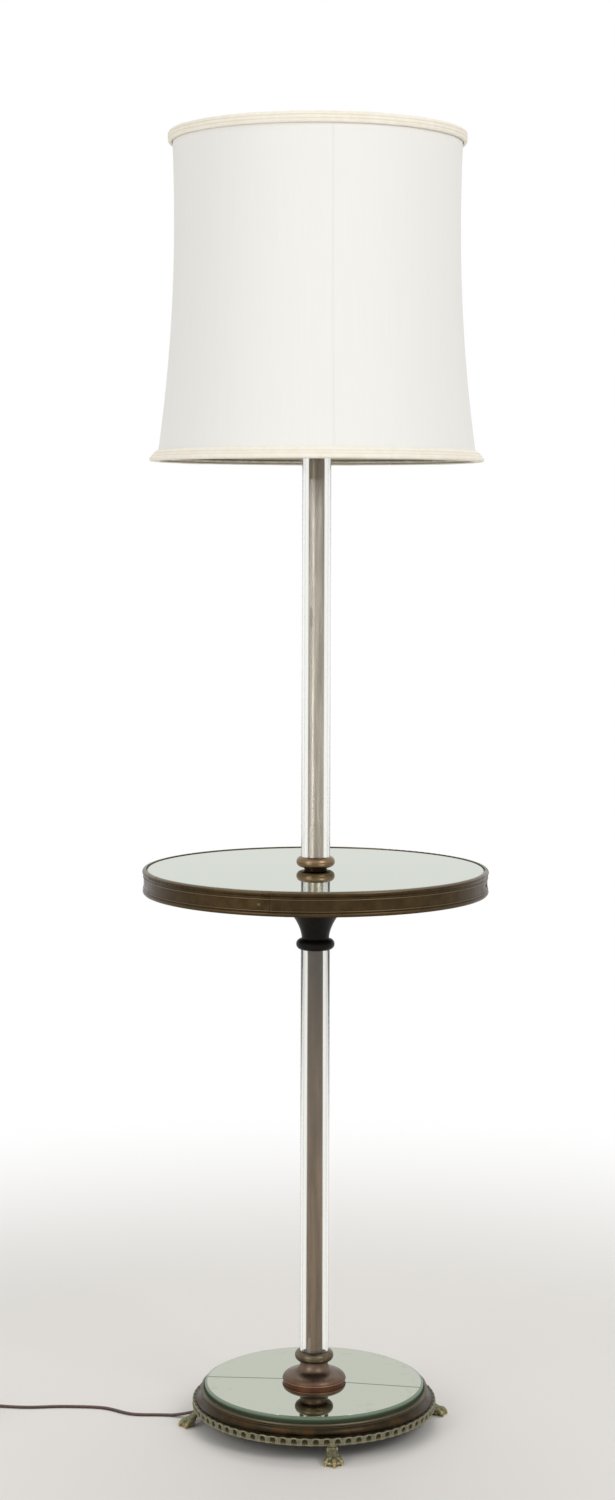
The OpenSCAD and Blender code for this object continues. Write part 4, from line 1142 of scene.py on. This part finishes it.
def woven(name, main, streak, rough, slub, sheen, seam=0.0):
    """Cloth with upright slubs and a seam where the map begins and ends.

    The threads are drawn about three times too thick, so that they show.
    """
    material, tree, shader = new_material(
        name, {"Roughness": rough, "Sheen Weight": sheen, "Sheen Roughness": 0.5})[:3]
    chart = add(tree, "UVMap", uv_map="cloth").outputs[0]
    slubs = {"Vector": chart, "Scale": (1 / (slub * MM), 1 / (SLUB_LONG * MM), 1)}
    tall = add(tree, "Mapping", slubs).outputs[0]
    streaks = add(tree, "TexNoise", {"Vector": tall, "Scale": 1.0, "Detail": 4}).outputs[0]
    part = add(tree, "MapRange", {"Value": streaks, "From Min": 0.35, "From Max": 0.7}).outputs[0]
    colour = add(tree, "Mix", {0: part, 6: rgb(main), 7: rgb(streak)}, data_type="RGBA").outputs[2]
    across = add(tree, "SeparateXYZ", {0: chart}).outputs["X"]
    half_round = math.pi * WAIST_R
    beside = add(tree, "Math", {0: across, 1: half_round * MM}, operation="SUBTRACT").outputs[0]
    beside = add(tree, "Math", {0: beside}, operation="ABSOLUTE").outputs[0]
    sewn = add(tree, "MapRange", {
        "Value": beside, "From Min": (half_round - 1.8) * MM, "From Max": (half_round - 1) * MM,
        "To Max": seam,
    }).outputs[0]
    colour = add(tree, "Mix", {0: sewn, 6: colour, 7: rgb("ddd9cf")}, data_type="RGBA").outputs[2]
    paint(tree, shader, colour)
    threads = []
    for direction in ("X", "Y"):
        threads.append(add(tree, "TexWave", {
            "Vector": chart, "Scale": THREAD_SCALE, "Distortion": 0.6, "Detail": 2,
            "Detail Scale": 2,
        }, bands_direction=direction).outputs["Fac"])
    weave = add(tree, "Math", {0: threads[0], 1: threads[1]}, operation="MULTIPLY").outputs[0]
    fine = add(tree, "Bump", {"Height": weave, "Distance": 0.05 * MM, "Strength": 0.5}).outputs[0]
    bump = add(tree, "Bump", {"Height": streaks, "Distance": 0.06 * MM, "Strength": 0.3,
                              "Normal": fine}).outputs[0]
    tree.links.new(bump, shader.inputs["Normal"])
    return material


# Linen-look rayon: off-white with barely darker upright slubs, and almost no shine
cover_cloth = woven("slubbed rayon shade cloth", "f1f0ec", "f0eeea", 0.85, 1.2, 0.1, 0.2)
# Plain acetate lining: beige, smoother
lining_cloth = woven("beige acetate lining", "bdb5a2", "b5ac98", 0.7, 3.5, 0.15)
hand_in(cover, "shade", "shade_fabric", cover_cloth, "shade_cover")
hand_in(lining, "shade", "shade_lining", lining_cloth, "shade_liner")

# %% [markdown]
# ## Trims
# Cream bias tape is folded over each ring and glued down by hand. At the top it stands up as
# a soft roll with two stitched grooves; at the foot it flares over the ring's edge. The tape
# is turned as an outline, and then its outer face is moved a little, with no two places
# alike, as hand work leaves it.

# %% Model the trims
TOP_IN = cover_radius(SHADE_H - 2) + 0.3
FOOT_IN = cover_radius(2) + 0.3
FOOT_TOP = cover_radius(13) + 0.3
top_section = [(0, -12.6), (1.6, -12.9), (3.4, -12.3), (4.3, -11), (4.6, -9.6), (4.5, -8.8),
               (4.2, -8.5), (4.55, -8.1), (4.7, -6.8), (4.7, -5.4), (4.6, -4.7), (4.3, -4.4),
               (4.65, -4), (4.6, -2.6), (4.1, -1.3), (3, -0.4), (1.6, 0), (-4.4, -0.1), (-5, -0.8),
               (-4.4, -1.6), (-0.2, -1.7), (0, -12.6)]
top_outline = [(TOP_IN + r, z) for r, z in top_section]
top_trim = lathe("top_trim_tape", top_outline, SHADE_Z + SHADE_H, 240)
foot_section = [(3.9, 9.8), (4.3, 9.2), (4.3, 8.8), (5, 8.4), (6.1, 6.7), (6.5, 6.1), (6.6, 5.7),
                (7.4, 5.3), (8.3, 4), (8.5, 2.8), (8, 1.2), (6.6, 0.3), (5, 0), (-2.4, 0),
                (-3, 0.8), (-2.4, 1.6), (0, 1.7)]
foot_outline = [(FOOT_TOP + r, z) for r, z in ((0, 12.4), (1, 13), (2.2, 12.8), (2.9, 12))]
foot_outline += [(FOOT_IN + r, z) for r, z in foot_section] + foot_outline[:1]
foot_trim = lathe("foot_trim_tape", foot_outline, SHADE_Z, 240)

# %% Hand-made unevenness
MID_SHADE = (SHADE_Z + SHADE_H / 2) * MM
for trim, inner, lift in ((top_trim, TOP_IN + 1, 0.15), (foot_trim, FOOT_TOP + 1, 0.3)):
    for vert in trim.data.vertices:
        reach = Vector((vert.co.x, vert.co.y)).length / MM
        if reach < inner:
            continue
        a = math.atan2(vert.co.y, vert.co.x)
        sway = math.sin(7 * a + 1) + 0.7 * math.sin(17 * a + 3) + 0.5 * math.sin(41 * a)
        push = 0.12 * (math.sin(13 * a) + math.sin(29 * a + 2) + 0.8 * math.sin(67 * a + 1)) - 0.3
        vert.co.x += push * math.cos(a) * MM
        vert.co.y += push * math.sin(a) * MM
        vert.co.z += (lift * sway / 2.2 * (1 if vert.co.z < MID_SHADE else -1) + 0.02) * MM

# %% Finish of the trims and the cloth's facts
# Cotton bias tape: cream, with fine ribs, and the stitched grooves painted darker as painted shade
tape, tree, shader, place, colour = plain_stuff(
    "cream cotton bias tape", "f8f3e7", "f3ecdd", 9, 0.85, 0.9, 0.015,
    also={"Sheen Weight": 0.15})
# Painted shade: a darker line at each stitched groove
for groove in (SHADE_Z + SHADE_H - 8.6, SHADE_Z + SHADE_H - 4.5, SHADE_Z + 9, SHADE_Z + 5.9):
    colour = line_at(tree, place, colour, "d8c8ab", groove, 0.9, 0.2, 0.4)
paint(tree, shader, colour)
hand_in(top_trim, "shade", "shade_trim", tape, "shade_trim_top")
hand_in(foot_trim, "shade", "shade_trim", tape, "shade_trim_bottom")


def cut_size(piece_height, radius):
    """A sheet's flat width and height, in metres, from its mean radius and height in mm."""
    return (round(math.tau * radius * MM, 3), round(piece_height * MM, 3))


print("cover cut to", cut_size(SHADE_H, WAIST_R + 8), "m")
